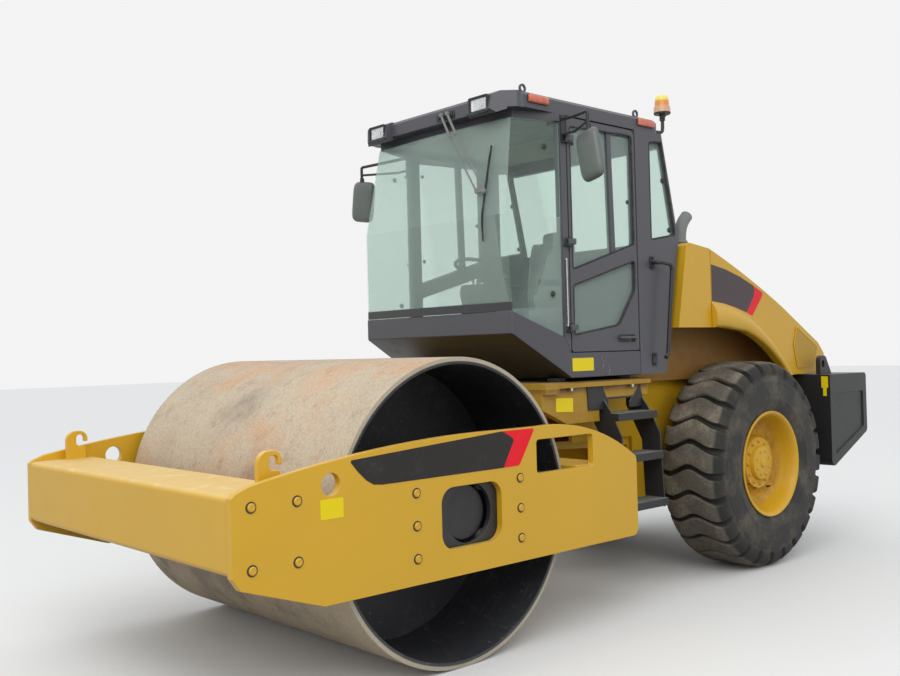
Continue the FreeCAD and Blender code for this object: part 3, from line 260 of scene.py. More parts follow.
def deck_paint(colours):
    """Yellow paint dimmed and darker orange in patches as painted shade of the cab's shadow, with a dark brown band of
    painted shade under the deck's flange.
    """
    f = Finish("roller deck paint", IOR=1.5)
    _, _, z = f.xyz()
    # Noise patches of painted shade: the paint is dimmed all over and turns darker orange in these patches, as painted
    # shade of the cab's shadow; they also make it rougher.
    painted_shade_patches = f.noise(6.0, 7, 0.65).between(0.35, 0.7)
    shade = f.mix(painted_shade_patches * 0.35, dim(colours.paint, 0.62), linear(140, 92, 28))
    # A dark brown band just under the deck's flange, as painted shade.
    painted_flange_shade = z.between(1.33, 1.375) * (1 - z.between(1.3765, 1.378))
    shade = f.mix(painted_flange_shade * (0.35 + 0.4 * painted_shade_patches), shade, linear(62, 40, 20))
    dusty = f.upward().between(0.3, 0.9) * 0.4
    return f.feed(Base_Color=f.mix(dusty, shade, colours.dust), Roughness=0.42 + painted_shade_patches * 0.2,
                  Normal=f.bump(f.noise(380.0, 2), 0.0005, 0.2))


def sill_scuff(colours):
    """Dried splashes that ran down the sill below the door."""
    f = Finish("roller sill scuff", IOR=1.45, Roughness=0.8)
    runs = f.noise(26.0, 6, 0.7, (1.0, 1.0, 0.16)).between(0.50, 0.60)
    return f.feed(Base_Color=f.mix(runs, linear(88, 88, 92), linear(150, 150, 150)), Alpha=runs * 0.75)


def drum_steel(colours):
    """Rolled steel outside with rust and scale, a bright worn end face, and dark scuffed paint inside."""
    f = Finish("roller drum steel", IOR=1.5)
    _, y, z = f.xyz()
    radius = f.radius(DRUM)
    stain = f.noise(2.6, 8, 0.7).between(0.42, 0.66)
    rust = f.noise(9.0, 10, 0.8).between(0.52, 0.64)
    patch = f.noise(1.3, 4, 0.6).between(0.54, 0.68)
    warm = f.noise(1.9, 6, 0.65, (1.0, 0.8, 1.2)).between(0.48, 0.66)
    fine = f.noise(70.0, 6, 0.8).between(0.44, 0.58)
    pits = (1 - f.spots(30.0).between(0.04, 0.16)) * f.noise(11.0, 2).between(0.44, 0.52)
    pale = (1 - f.spots(47.0).between(0.03, 0.12)) * f.noise(6.0, 3).between(0.5, 0.6)
    outside = colours.drum
    for share, colour in ((stain * 0.3, dim(colours.drum, 0.7)), (warm * 0.5, linear(212, 160, 114)),
                          (rust * 0.3, colours.rust), (fine * 0.3, linear(132, 114, 98)),
                          (patch * (0.45 + 0.4 * rust), linear(116, 104, 96)), (pits * 0.75, linear(120, 74, 50)),
                          (pale * 0.6, linear(236, 224, 204))):
        outside = f.mix(share, outside, colour)
    scuffs = f.noise(7.0, 7, 0.7, (1.0, 4.0, 1.0)).between(0.5, 0.78)
    low = (DRUM.z - z).between(0.15, 0.75)
    inside = f.mix((scuffs * 0.35 + low * 0.22) & 1, (0.016, 0.016, 0.018), (0.12, 0.125, 0.145))
    scratch = f.noise(60.0, 3, 0.6, (1.0, 0.2, 1.0)).between(0.62, 0.72)
    inside = f.mix(scratch * 0.3, inside, (0.34, 0.32, 0.3))
    rim = (abs(y).between(DRUM_HALF - 0.003, DRUM_HALF - 0.001) * radius.between(0.776, 0.782)
           * (0.5 + 0.5 * f.noise(16.0, 5).between(0.35, 0.6)))
    hollow = 1 - radius.between(0.774, 0.784)
    shade = f.mix(rim, f.mix(hollow, outside, inside), linear(176, 168, 150))
    height = f.noise(90.0, 6, 0.7) * 0.6 + rust * 0.4 - pits + pale * 0.5
    return f.feed(Base_Color=shade, Roughness=0.74 - hollow * 0.28 - rim * 0.25 + stain * 0.08,
                  Metallic=rim * 0.35, Normal=f.bump(height, 0.0015, 0.7))


def tyre_rubber(colours):
    """Black rubber: dusty brown on the lugs with paler worn edges, near black painted shade in the grooves, fine rings
    on the walls.
    """
    f = Finish("roller tyre rubber", IOR=1.45)
    radius = f.radius(AXLE)
    dirt = f.noise(5.0, 7, 0.65).between(0.42, 0.7)
    fine = f.noise(60.0, 5, 0.7).between(0.4, 0.7)
    wall = f.mix(dirt * 0.32, dim(colours.rubber, 0.8), colours.mud)
    # Near black between the radii of the groove floors and the lug sides: painted shade in the grooves.
    painted_groove_shade = radius.between(0.735, 0.72) * radius.between(0.63, 0.66)
    wall = f.mix(painted_groove_shade * 0.55, wall, (0.006, 0.006, 0.006))
    top = f.mix((0.4 + 0.6 * dirt) * (0.6 + 0.4 * fine), colours.rubber, colours.mud)
    shade = f.mix(radius.between(0.722, 0.742), wall, top)
    edge = f.node("ShaderNodeNewGeometry", output=7).between(0.525, 0.60) * radius.between(0.66, 0.72)
    shade = f.mix(edge * (0.3 + 0.5 * fine), shade, linear(158, 148, 130))
    rings = (radius * 900.0).wave() * (1 - radius.between(0.6, 0.63))
    return f.feed(Base_Color=shade, Roughness=0.66 + 0.2 * dirt,
                  Normal=f.bump(f.noise(160.0, 4) * 0.7 + rings * 0.12, 0.0012, 0.5))


def plain_rubber(colours):
    f = Finish("roller rubber trim", IOR=1.45)
    dirt = f.noise(22.0, 6, 0.7).between(0.45, 0.75)
    return f.feed(Base_Color=f.mix(dirt * 0.3, (0.016, 0.016, 0.017), colours.mud), Roughness=0.6 + dirt * 0.2,
                  Normal=f.bump(f.noise(300.0), 0.0004, 0.3))


def moulded_plastic(colours):
    f = Finish("roller moulded plastic", IOR=1.46)
    dirt = f.noise(5.0, 5, 0.6).between(0.45, 0.8)
    return f.feed(Base_Color=f.mix(dirt * 0.08, colours.plastic, colours.dust), Roughness=0.46 + dirt * 0.15,
                  Normal=f.bump(f.spots(700.0), 0.0004, 0.35))


def mirror_shell(colours):
    """Smooth grey-green moulding with a faint dusty film."""
    f = Finish("roller mirror shell", IOR=1.48)
    dirt = f.noise(3.0, 4, 0.6).between(0.4, 0.8)
    return f.feed(Base_Color=f.mix(dirt * 0.25, linear(98, 104, 101), linear(136, 137, 130)),
                  Roughness=0.3 + dirt * 0.15, Normal=f.bump(f.noise(240.0), 0.0003, 0.2))


def tinted_glass(name, colours, banded=False):
    """Green tinted pane that mirrors the sky more at a slant, partly through its pale colour, which is a painted
    reflection of the sky; the front pane has a black band at its foot.
    """
    clear = 0.4
    f = Finish(name, IOR=1.6, Roughness=0.03, Alpha=clear)
    film = f.noise(2.5, 6, 0.65).between(0.4, 0.8)
    # The Principled share carries the pale glass colour, a painted reflection of the sky that grows at a slant with
    # the Fresnel; the Transparent BSDF gives the tint.
    share = 0.09 + film * 0.04 + f.node("ShaderNodeFresnel", None, {"IOR": 1.5}) * 0.8
    if banded:
        _, _, z = f.xyz()
        band = 1 - z.between(1.915, 1.925)
        f.feed(Base_Color=f.mix(band, colours.glass, (0.012, 0.013, 0.014)), Alpha=clear | band)
        share = share | band
    else:
        f.feed(Base_Color=f.mix(film * 0.5, colours.glass, (0.8, 0.8, 0.77)))
    tint = f.node("ShaderNodeBsdfTransparent", None, {"Color": (0.90, 0.98, 0.945)})
    f.put(f.tree.nodes["Material Output"].inputs["Surface"],
          f.mix_shaders(share, tint, Wire(f, f.shader.outputs[0])))
    return f.material


def clear_lens(colours):
    f = Finish("roller clear lens", IOR=1.6, Roughness=0.05)
    film = f.noise(30.0, 4).between(0.4, 0.8)
    return f.feed(Base_Color=f.mix(film * 0.3, (0.86, 0.89, 0.9), (0.7, 0.68, 0.62)), Alpha=0.28 + film * 0.12)


def polished(name, roughness, cloud, low, amount, colour, dull):
    """Bright metal under a cloudy film, which begins where the noise reaches low."""
    f = Finish(name, Metallic=1.0, Roughness=roughness)
    return f.feed(Base_Color=f.mix(f.noise(*cloud).between(low, 0.8) * amount, colour, dull))


def steel_pin(colours):
    """Bright turned steel with a little staining."""
    f = Finish("roller bright steel")
    stain = f.noise(26.0, 6, 0.7).between(0.5, 0.75)
    return f.feed(Base_Color=f.mix(stain * 0.5, colours.bare, colours.rust), Metallic=0.9,
                  Roughness=0.26 + stain * 0.3)


def coloured_lens(name, colour, pale):
    """Moulded lens with ribs, paler where the light gathers."""
    f = Finish(name, IOR=1.5, Roughness=0.18, Coat_Weight=0.4, Coat_Roughness=0.08)
    _, _, z = f.xyz()
    glow = f.noise(18.0, 3).between(0.35, 0.75)
    return f.feed(Base_Color=f.mix(glow * 0.5, colour, pale), Normal=f.bump((z * 1100.0).wave(), 0.0006, 0.5))


def beacon_lens(colours):
    """Pale orange ring under a dome that turns yellow towards its top."""
    f = Finish("roller beacon lens", IOR=1.5, Roughness=0.2, Coat_Weight=0.4)
    _, _, z = f.xyz()
    low = f.mix(z.between(3.325, 3.35), linear(214, 168, 132), linear(226, 148, 70))
    return f.feed(Base_Color=f.mix(z.between(3.372, 3.392), low, linear(244, 222, 92)),
                  Normal=f.bump((z * 900.0).wave(), 0.0008, 0.4))


def seat_cloth(colours):
    """Woven cloth with a fine two-way thread."""
    f = Finish("roller seat cloth", Sheen_Weight=0.35, IOR=1.4)
    x, y, z = f.xyz()
    thread = 1500.0
    weave = ((x + z) * thread).wave() * (y * thread).wave()
    shade = f.mix(weave.between(-0.5, 0.8) * 0.5, colours.cloth, dim(colours.cloth, 1.7))
    shade = f.mix(f.noise(9.0, 5).between(0.4, 0.7) * 0.18, shade, colours.dust)
    return f.feed(Base_Color=shade, Roughness=0.86, Normal=f.bump(weave, 0.0007, 0.5))


def lining_cloth(colours):
    """Pale grey felt of the cab's lining."""
    f = Finish("roller lining", IOR=1.35, Roughness=0.9)
    shade = f.mix(f.noise(14.0, 5).between(0.4, 0.7) * 0.2, linear(168, 170, 168), linear(130, 130, 126))
    return f.feed(Base_Color=shade, Normal=f.bump(f.noise(500.0), 0.0005, 0.4))


def vinyl(name, *colour):
    """Printed film on paint, a little scuffed."""
    f = Finish(name, IOR=1.38)
    scuff = f.noise(13.0, 8, 0.72).between(0.5, 0.76)
    return f.feed(Base_Color=f.mix(scuff * 0.06, linear(*colour), (0.45, 0.42, 0.38)),
                  Roughness=0.42 + scuff * 0.25, Normal=f.bump(f.noise(50.0, 3), 0.0004, 0.2))


def screen_sheet(name, colour, dust_colour, hole_shade_share):
    """Painted sheet with rows of small round holes, which are painted dark as painted shade of what lies behind them.
    """
    f = Finish(name, IOR=1.5)
    x, _, z = f.xyz()
    rows = 760.0
    holes = ((x * rows).wave() * (z * rows).wave()).between(0.2, 0.5)
    dirt = f.noise(8.0, 6).between(0.4, 0.7)
    # The holes darken towards near black brown: painted shade inside them.
    shade = f.mix(holes * hole_shade_share, f.mix(dirt * 0.2, colour, dust_colour), (0.05, 0.035, 0.015))
    return f.feed(Base_Color=shade, Roughness=0.55 + dirt * 0.2, Normal=f.bump(1 - holes, 0.0008, 0.4))


CAB_DUST = linear(150, 150, 148)
# How each finish is made from the scene's colours
FINISHES = {
    "yellow_paint": lambda c: worn_paint("roller yellow paint", c.paint, c.dust, 0.4, 0.34),
    "sandy_paint": lambda c: worn_paint("roller sandy paint", c.paint, linear(228, 206, 158), 0.95, 0.4),
    "cab_grey": lambda c: worn_paint("roller cab grey paint", c.cab, CAB_DUST, 0.3, 0.36),
    # Sill and roof: faces that look down are painted black and blue-black, as painted shade under the sill and under
    # the roof and lamp pods.
    "tub_paint": lambda c: worn_paint("roller sill paint", dim(c.cab, 0.9), CAB_DUST, 0.3, 0.38, c.black),
    "roof_paint": lambda c: worn_paint("roller roof paint", c.cab, CAB_DUST, 0.3, 0.36, linear(40, 42, 50)),
    "black_paint": lambda c: worn_paint("roller black paint", c.black, linear(150, 144, 130), 0.45, 0.42),
    "step_paint": lambda c: worn_paint("roller step paint", c.black, linear(168, 164, 156), 0.85, 0.5),
    "stack_paint": lambda c: worn_paint("roller stack paint", linear(122, 124, 122), linear(140, 138, 130), 0.3, 0.55),
    "engine_paint": lambda c: worn_paint("roller engine paint", c.engine, c.dust, 0.7, 0.5),
    "rim_paint": rim_paint, "deck_paint": deck_paint, "sill_scuff": sill_scuff, "drum_steel": drum_steel,
    "chrome_rod": steel_pin, "tyre": tyre_rubber, "rubber": plain_rubber, "plastic": moulded_plastic,
    "mirror_shell": mirror_shell, "lamp": clear_lens, "beacon": beacon_lens, "seat_cloth": seat_cloth,
    "lining": lining_cloth,
    "glass": lambda c: tinted_glass("roller glass", c),
    "front_glass": lambda c: tinted_glass("roller front glass", c, banded=True),
    "reflector": lambda c: polished("roller lamp reflector", 0.22, (14.0, 2), 0.3, 0.4, (0.82, 0.83, 0.84),
                                    (0.6, 0.6, 0.6)),
    "mirror_glass": lambda c: polished("roller mirror glass", 0.03, (18.0, 5), 0.4, 0.3, (0.8, 0.82, 0.83),
                                       (0.55, 0.56, 0.55)),
    "amber": lambda c: coloured_lens("roller amber lens", c.amber, linear(232, 150, 116)),
    "tail_lens": lambda c: coloured_lens("roller red lens", (0.45, 0.012, 0.01), (0.7, 0.06, 0.03)),
    "plate_film": lambda c: vinyl("roller plate film", 34, 31, 29),
    "hood_film": lambda c: vinyl("roller hood film", 74, 62, 66),
    "red_film": lambda c: vinyl("roller red film", 236, 8, 34),
    "yellow_film": lambda c: vinyl("roller yellow film", 235, 210, 12),
    "vent_screen": lambda c: screen_sheet("roller vent screen", dim(c.paint, 0.8), c.dust, 0.4),
    "bay_screen": lambda c: screen_sheet("roller bay screen", linear(160, 116, 52), c.rust, 0.5),
}
made_finishes = {}


def finish(name):
    """The material of that name, made from the scene's colours when it is first asked for."""
    if name not in made_finishes:
        made_finishes[name] = FINISHES[name](bpy.context.scene.roller_colours)
    return made_finishes[name]


# Mesh making

def circle(middle, side, across, radius, steps):
    """Points round a middle, in the plane of two directions."""
    return [middle + (side * math.cos(a) + across * math.sin(a)) * radius
            for a in (2 * math.pi * k / steps for k in range(steps))]


def rounded(corners, steps=6):
    """Outline points from (a, b) or (a, b, corner radius), with the corners rounded."""
    points = []
    count = len(corners)
    for i, corner in enumerate(corners):
        here = Vector(corner[:2])
        if len(corner) < 3:
            points.append(here)
            continue
        back = (Vector(corners[i - 1][:2]) - here)
        ahead = (Vector(corners[(i + 1) % count][:2]) - here)
        half_angle = back.angle(ahead) / 2
        reach = min(corner[2] / math.tan(half_angle), back.length / 2, ahead.length / 2)
        start = here + back.normalized() * reach
        end = here + ahead.normalized() * reach
        for k in range(steps + 1):
            t = k / steps
            points.append(start * (1 - t) ** 2 + here * 2 * t * (1 - t) + end * t ** 2)
    return points


def oblong(start, end, radius, steps=6):
    """Outline points of a rounded rectangle between two opposite corners."""
    (a, b), (c, d) = start, end
    return rounded([(a, b, radius), (c, b, radius), (c, d, radius), (a, d, radius)], steps)


def smooth_line(points, steps=8):
    """Points of a soft curve through the given ones."""
    points = [Vector(p) for p in points]
    padded = [points[0] * 2 - points[1], *points, points[-1] * 2 - points[-2]]
    line = []
    for a, b, c, d in zip(padded, padded[1:], padded[2:], padded[3:]):
        for k in range(steps):
            t = k / steps
            line.append(0.5 * ((2 * b) + (c - a) * t + (2 * a - 5 * b + 4 * c - d) * t * t
                               + (3 * b - a - 3 * c + d) * t ** 3))
    return line + [points[-1]]


class Shape:
    """A mesh in the making, in metres."""

    def __init__(self):
        self.bm = bmesh.new()

    def skin(self, loops, closed=True, capped=True):
        """Faces between loops of points; each loop is closed where that is asked for."""
        rows = [[self.bm.verts.new(p) for p in loop] for loop in loops]
        count = len(rows[0])
        for low, high in zip(rows, rows[1:]):
            for i in range(count if closed else count - 1):
                j = (i + 1) % count
                self.bm.faces.new((low[i], low[j], high[j], high[i]))
        if capped:
            self.bm.faces.new(list(reversed(rows[0])))
            self.bm.faces.new(rows[-1])
        return self

    def stack(self, plane, outlines, ring=False):
        """Faces between (outline, level) pairs of a plane; a ring goes back to its first outline."""
        loops = [[PLANES[plane](a, b, level) for a, b in outline] for outline, level in outlines]
        return self.skin(loops + loops[:1], capped=False) if ring else self.skin(loops)

    def prism(self, outline, plane, low, high):
        return self.stack(plane, [(outline, low), (outline, high)])

    def block(self, low, high):
        corners = [(low[0], low[1]), (high[0], low[1]), (high[0], high[1]), (low[0], high[1])]
        return self.prism(corners, "xy", low[2], high[2])

    def lathe(self, section, start, axis, steps=32, ring=False):
        """Solid of revolution from (distance, radius) points about a line; a ring is open in the middle."""
        axis = Vector(axis).normalized()
        side = axis.orthogonal().normalized()
        thinnest = 0.0004
        loops = [circle(Vector(start) + axis * distance, side, axis.cross(side), max(radius, thinnest), steps)
                 for distance, radius in section]
        if ring:
            self.skin(loops + loops[:1], capped=False)
            self.join(0.00002)
            return self
        return self.skin(loops)

    def tube(self, points, radius, steps=12):
        """Round bar along a line of points; the radius may be a list, one for each point."""
        points = [Vector(p) for p in points]
        radii = radius if isinstance(radius, list) else [radius] * len(points)
        side = (points[1] - points[0]).orthogonal().normalized()
        loops = []
        for i, point in enumerate(points):
            ahead = points[min(i + 1, len(points) - 1)] - points[max(i - 1, 0)]
            ahead.normalize()
            side = (side - ahead * side.dot(ahead)).normalized()
            loops.append(circle(point, side, ahead.cross(side), radii[i], steps))
        return self.skin(loops)

    def loop_tube(self, points, radius, steps=8):
        """Round bar along a closed line of points."""
        points = [Vector(p) for p in points]
        count = len(points)
        middle = sum(points, Vector()) / count
        rows = []
        for i, point in enumerate(points):
            ahead = (points[(i + 1) % count] - points[i - 1]).normalized()
            out = point - middle
            out = (out - ahead * out.dot(ahead)).normalized()
            rows.append([self.bm.verts.new(p) for p in circle(point, out, ahead.cross(out), radius, steps)])
        for low, high in zip(rows, rows[1:] + rows[:1]):
            for i in range(steps):
                j = (i + 1) % steps
                self.bm.faces.new((low[i], low[j], high[j], high[i]))
        return self

    def join(self, distance):
        bmesh.ops.remove_doubles(self.bm, verts=self.bm.verts[:], dist=distance)

    def mirror(self):
        """Adds the same again on the other side of the machine."""
        made = bmesh.ops.duplicate(self.bm, geom=self.bm.verts[:] + self.bm.edges[:] + self.bm.faces[:])
        for part in made["geom"]:
            if isinstance(part, bmesh.types.BMVert):
                part.co.y = -part.co.y
        return self


def link(name, data):
    """An object in the scene from a mesh, a lamp or a camera."""
    obj = bpy.data.objects.new(name, data)
    bpy.context.scene.collection.objects.link(obj)
    return obj


def piece(name, shape, body, finish_name, bevel=0.0, crease=35, segments=2):
    """An object from a shape, on its body, with its finish."""
    bmesh.ops.recalc_face_normals(shape.bm, faces=shape.bm.faces[:])
    mesh = bpy.data.meshes.new(name)
    shape.bm.to_mesh(mesh)
    shape.bm.free()
    for polygon in mesh.polygons:
        polygon.use_smooth = True
    mesh.set_sharp_from_angle(angle=math.radians(crease))
    obj = link(name, mesh)
    mesh.materials.append(finish(finish_name))
    if bevel:
        soften(obj, bevel, segments)
    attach(obj, body)
    return obj


def soften(obj, width, segments=2):
    """Rounds the sharp edges of an object."""
    edge = obj.modifiers.new("rounded edges", "BEVEL")
    edge.width = width
    edge.segments = segments
    edge.limit_method = "ANGLE"
    edge.angle_limit = math.radians(35)
    edge.harden_normals = True


def soften_solid(obj, width):
    """Joins a solid's facets, then rounds its sharp edges."""
    weld = obj.modifiers.new("joined facets", "WELD")
    weld.merge_threshold = 0.00005
    flat = obj.modifiers.new("flat faces", "DECIMATE")
    flat.decimate_type = "DISSOLVE"
    flat.angle_limit = math.radians(0.4)
    soften(obj, width)
    even = obj.modifiers.new("even shading", "WEIGHTED_NORMAL")
    even.keep_sharp = False


# Settings

def colour(name, description, default):
    return bpy.props.FloatVectorProperty(
        name=name, description=description, subtype="COLOR", default=default, min=0, max=1)


def length(name, description, default):
    return bpy.props.FloatProperty(name=name, description=description, default=default, unit="LENGTH")


class RollerColours(bpy.types.PropertyGroup):
    paint: colour("Paint", "Yellow paint of the frames and the hood", linear(212, 165, 34))
    cab: colour("Cab", "Grey paint of the cab", linear(78, 78, 84))
    black: colour("Black", "Black paint", linear(38, 38, 40))
    engine: colour("Engine", "Paint of the engine and the axle", linear(92, 95, 98))
    drum: colour("Drum", "Rolled steel of the drum", linear(198, 182, 158))
    rust: colour("Rust", "Rust and brown stains", linear(138, 96, 70))
    bare: colour("Bare steel", "Bright worn steel", linear(205, 203, 198))
    rubber: colour("Rubber", "Tyre rubber", linear(52, 51, 50))
    mud: colour("Dried mud", "Dry dirt on the tyres", linear(150, 140, 122))
    dust: colour("Dust", "Pale dust on what faces up", linear(196, 178, 142))
    # Pale colour of the panes' opaque share: a painted reflection of the sky; the tint that light passes through is
    # set in the glass finish.
    glass: colour("Glass", "Tint of the panes", linear(214, 226, 222))
    plastic: colour("Plastic", "Moulded plastic of lamps and trim", linear(44, 47, 48))
    cloth: colour("Seat cloth", "Woven cloth of the seat", linear(96, 99, 98))
    amber: colour("Amber", "Marker lenses", linear(206, 92, 66))


class RollerSizes(bpy.types.PropertyGroup):
    bolt: length("Bolt", "Radius of the bolt heads on the side plates", 0.019)
    film: length("Film", "Thickness of stuck-on film", 0.0015)
    seal: length("Seal", "Radius of the window seals", 0.007)
    stud_ring: length("Wheel studs", "Radius of the ring of wheel nuts", 0.156)
    stud_count: bpy.props.IntProperty(
        name="Wheel nuts", description="Number of nuts on each wheel", default=12, min=4)
    nut: length("Nut", "Radius of a wheel nut", 0.011)
    swell: length("Cushion swell", "The most that a cushion's cover moves out", 0.022)


class RollerStage(bpy.types.PropertyGroup):
    floor: colour("Floor", "Colour of the floor", (0.8, 0.8, 0.79))
    key: bpy.props.FloatProperty(
        name="Key light", description="Power of the large lamp above", default=330.0, min=0)
    sky: bpy.props.FloatProperty(
        name="Sky light", description="Strength of the even light from all round", default=1.0, min=0)
    lens: bpy.props.FloatProperty(
        name="Lens", description="Focal length of the camera in millimetres", default=40.147, min=1)


# Pieces

# Solid parts' finishes: width of each part's rounded edges
NODE_FINISHES = {
    "yellow_paint": {"side_plate_left": 0.0025, "side_plate_right": 0.0025, "rear_crossmember": 0.005,
                     "rear_frame": 0.003, "hood": 0.02, "cowl": 0.008, "grilles": 0.001},
    "deck_paint": {"cab_deck": 0.004},
    "sandy_paint": {"front_beam": 0.016},
    "bay_screen": {"bay_panels": 0.002},
    "cab_grey": {"cab_frame": 0.004, "door_left": 0.003, "door_right": 0.003},
    "roof_paint": {"cab_roof": 0.006},
    "tub_paint": {"cab_tub": 0.006},
    "black_paint": {"counterweight": 0.008, "hitch": 0.005, "drum_mount_plates": 0.003, "travel_motor_left": 0.004,
                    "travel_motor_right": 0.004, "scraper": 0.002, "steering_barrel_left": 0.002,
                    "steering_barrel_right": 0.002, "grab_rails": 0.0, "door_hinges": 0.001, "radiator": 0.003},
    "step_paint": {"steps_left": 0.002, "steps_right": 0.002},
    "engine_paint": {"engine": 0.012, "rear_axle": 0.006},
    "drum_steel": {"drum": 0.003},
    "rubber": {"drum_buffers": 0.004, "cab_mounts": 0.004},
    "chrome_rod": {"steering_rod_left": 0.0, "steering_rod_right": 0.0},
    "glass": {"front_side_glass": 0.0, "rear_glass": 0.0, "door_glass_left": 0.0, "door_glass_right": 0.0},
    "front_glass": {"windshield": 0.0},
}


class RollerFinishes(bpy.types.Operator):
    """Paint, steel and glass on the solid parts, with their edges rounded"""
    bl_idname = "roller.finishes"
    bl_label = "Finish the solid parts"

    def execute(self, context):
        for finish_name, nodes in NODE_FINISHES.items():
            for node, width in nodes.items():
                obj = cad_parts[node]
                obj.data.materials.clear()
                obj.data.materials.append(finish(finish_name))
                if width:
                    soften_solid(obj, width)
        return {"FINISHED"}


# Lug's waves: share of the tyre's half width, step round the wheel
WAVES = [(-1.0, 0.012), (-0.58, -0.030), (0.06, 0.036), (0.72, -0.028), (1.0, -0.034)]
# Rows across the tread: distance from the middle and radius in the grooves, then on the lugs
TREAD_ROWS = [
    (0.0, 0.710, 0.0, 0.750), (0.040, 0.710, 0.040, 0.750), (0.085, 0.709, 0.085, 0.7495),
    (0.125, 0.707, 0.125, 0.7485), (0.152, 0.703, 0.160, 0.7465), (0.170, 0.696, 0.184, 0.743),
    (0.184, 0.687, 0.201, 0.735), (0.198, 0.675, 0.214, 0.724), (0.211, 0.663, 0.228, 0.709),
    (0.223, 0.652, 0.239, 0.693), (0.233, 0.643, 0.2435, 0.675), (0.239, 0.636, 0.2445, 0.655),
    (0.2425, 0.630, 0.2445, 0.640),
]
# Rows down the wall: distance from the middle, radius
WALL_ROWS = [
    (0.244, 0.621), (0.2455, 0.612), (0.2475, 0.608), (0.249, 0.600), (0.248, 0.592), (0.2495, 0.582),
    (0.2515, 0.560), (0.2525, 0.530), (0.2525, 0.505), (0.2515, 0.485), (0.2535, 0.478), (0.2535, 0.470),
    (0.249, 0.462), (0.244, 0.440), (0.237, 0.418), (0.229, 0.402), (0.223, 0.392), (0.2215, 0.385),
    (0.2205, 0.366),
]
# Rim's section: distance from its middle, outwards positive; radius
RIM_SECTION = [
    (-0.236, 0.300), (-0.236, 0.381), (-0.222, 0.381), (-0.221, 0.362), (-0.19, 0.350), (0.20, 0.352), (0.2215, 0.364),
    (0.222, 0.380), (0.226, 0.3835), (0.233, 0.3835), (0.2365, 0.379), (0.235, 0.369), (0.228, 0.360), (0.216, 0.353),
    (0.196, 0.345), (0.150, 0.336), (0.110, 0.328), (0.086, 0.314), (0.070, 0.290), (0.062, 0.255), (0.064, 0.225),
    (0.074, 0.205), (0.094, 0.194), (0.118, 0.190), (0.126, 0.187), (0.128, 0.182), (0.126, 0.178), (0.126, 0.134),
    (0.129, 0.129), (0.150, 0.124), (0.158, 0.120), (0.161, 0.114), (0.161, 0.0),
]
# Columns over one lug: distance round the wheel from its middle, share of its height
LUG_COLUMNS = [(-0.080, 0.0), (-0.0765, 0.05), (-0.0705, 0.92), (-0.0685, 0.98), (-0.064, 1.0), (-0.04, 1.0),
               (0.0, 1.0), (0.04, 1.0), (0.064, 1.0), (0.0685, 0.98), (0.0705, 0.92), (0.0765, 0.05),
               (0.080, 0.0), (0.0906, 0.0)]
LUGS = 26
TYRE_RADIUS = 0.75
TYRE_HALF = 0.2525
LUG_TAPER = 0.16  # how much a lug narrows towards the shoulder


def wave_step(share):
    """Step of a lug round the wheel at a share of the half width."""
    for (a, low), (b, high) in zip(WAVES, WAVES[1:]):
        if a <= share <= b:
            t = (share - a) / (b - a)
            return low + (high - low) * (0.45 * t + 0.55 * t * t * (3 - 2 * t))
    return WAVES[0][1] if share < 0 else WAVES[-1][1]


class RollerTyres(bpy.types.Operator):
    """Tyres with wave-shaped lugs and ringed walls"""
    bl_idname = "roller.tyres"
    bl_label = "Fit the tyres"

    def execute(self, context):
        half = [(*row,) for row in TREAD_ROWS] + [(a, r, a, r) for a, r in WALL_ROWS]
        rows = [(-a, r, -b, q) for a, r, b, q in reversed(half[1:])] + half
        pitch = 2 * math.pi / LUGS
        for side, sign in SIDES:
            loops = []
            for lug in range(LUGS):
                for step, height in LUG_COLUMNS:
                    loop = []
                    for a, r, b, q in rows:
                        across = a + (b - a) * height
                        radius = r + (q - r) * height
                        share = across / TYRE_HALF
                        narrow = step if step > LUG_COLUMNS[-2][0] else step * (1 - LUG_TAPER * abs(share) ** 3)
                        turn = lug * pitch + (narrow + wave_step(share)) / TYRE_RADIUS
                        loop.append(Vector((AXLE.x - radius * math.sin(turn), sign * (WHEEL_Y + across),
                                            AXLE.z + radius * math.cos(turn))))
                    loops.append(loop)
            shape = Shape().skin(loops + loops[:1], closed=False, capped=False)
            shape.join(0.00001)
            tyre = piece("tread_tyre_" + side, shape, "wheel_" + side, "tyre", crease=50)
            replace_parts(tyre, "tyre_" + side)
        return {"FINISHED"}


def nut_section(nut):
    """Washer, hexagon and stud of a wheel nut."""
    washer, stud = nut * 1.25, 0.0065
    return [(0, washer), (0.002, washer), (0.002, nut), (0.009, nut), (0.011, nut * 0.8), (0.011, stud),
            (0.017, stud), (0.018, 0.005)]


HUB_BOLTS = 8
HUB_BOLT = [(0, 0.009), (0.007, 0.009), (0.009, 0.007)]
HUB_CAP = [(0, 0.034), (0.006, 0.033), (0.012, 0.024), (0.014, 0.0)]
# Valve: steps from its foot, radius
VALVE = [((0, 0, 0), 0.008), ((0, 0.02, 0), 0.006), ((0.004, 0.032, 0.004), 0.005), ((0.010, 0.04, 0.010), 0.004)]


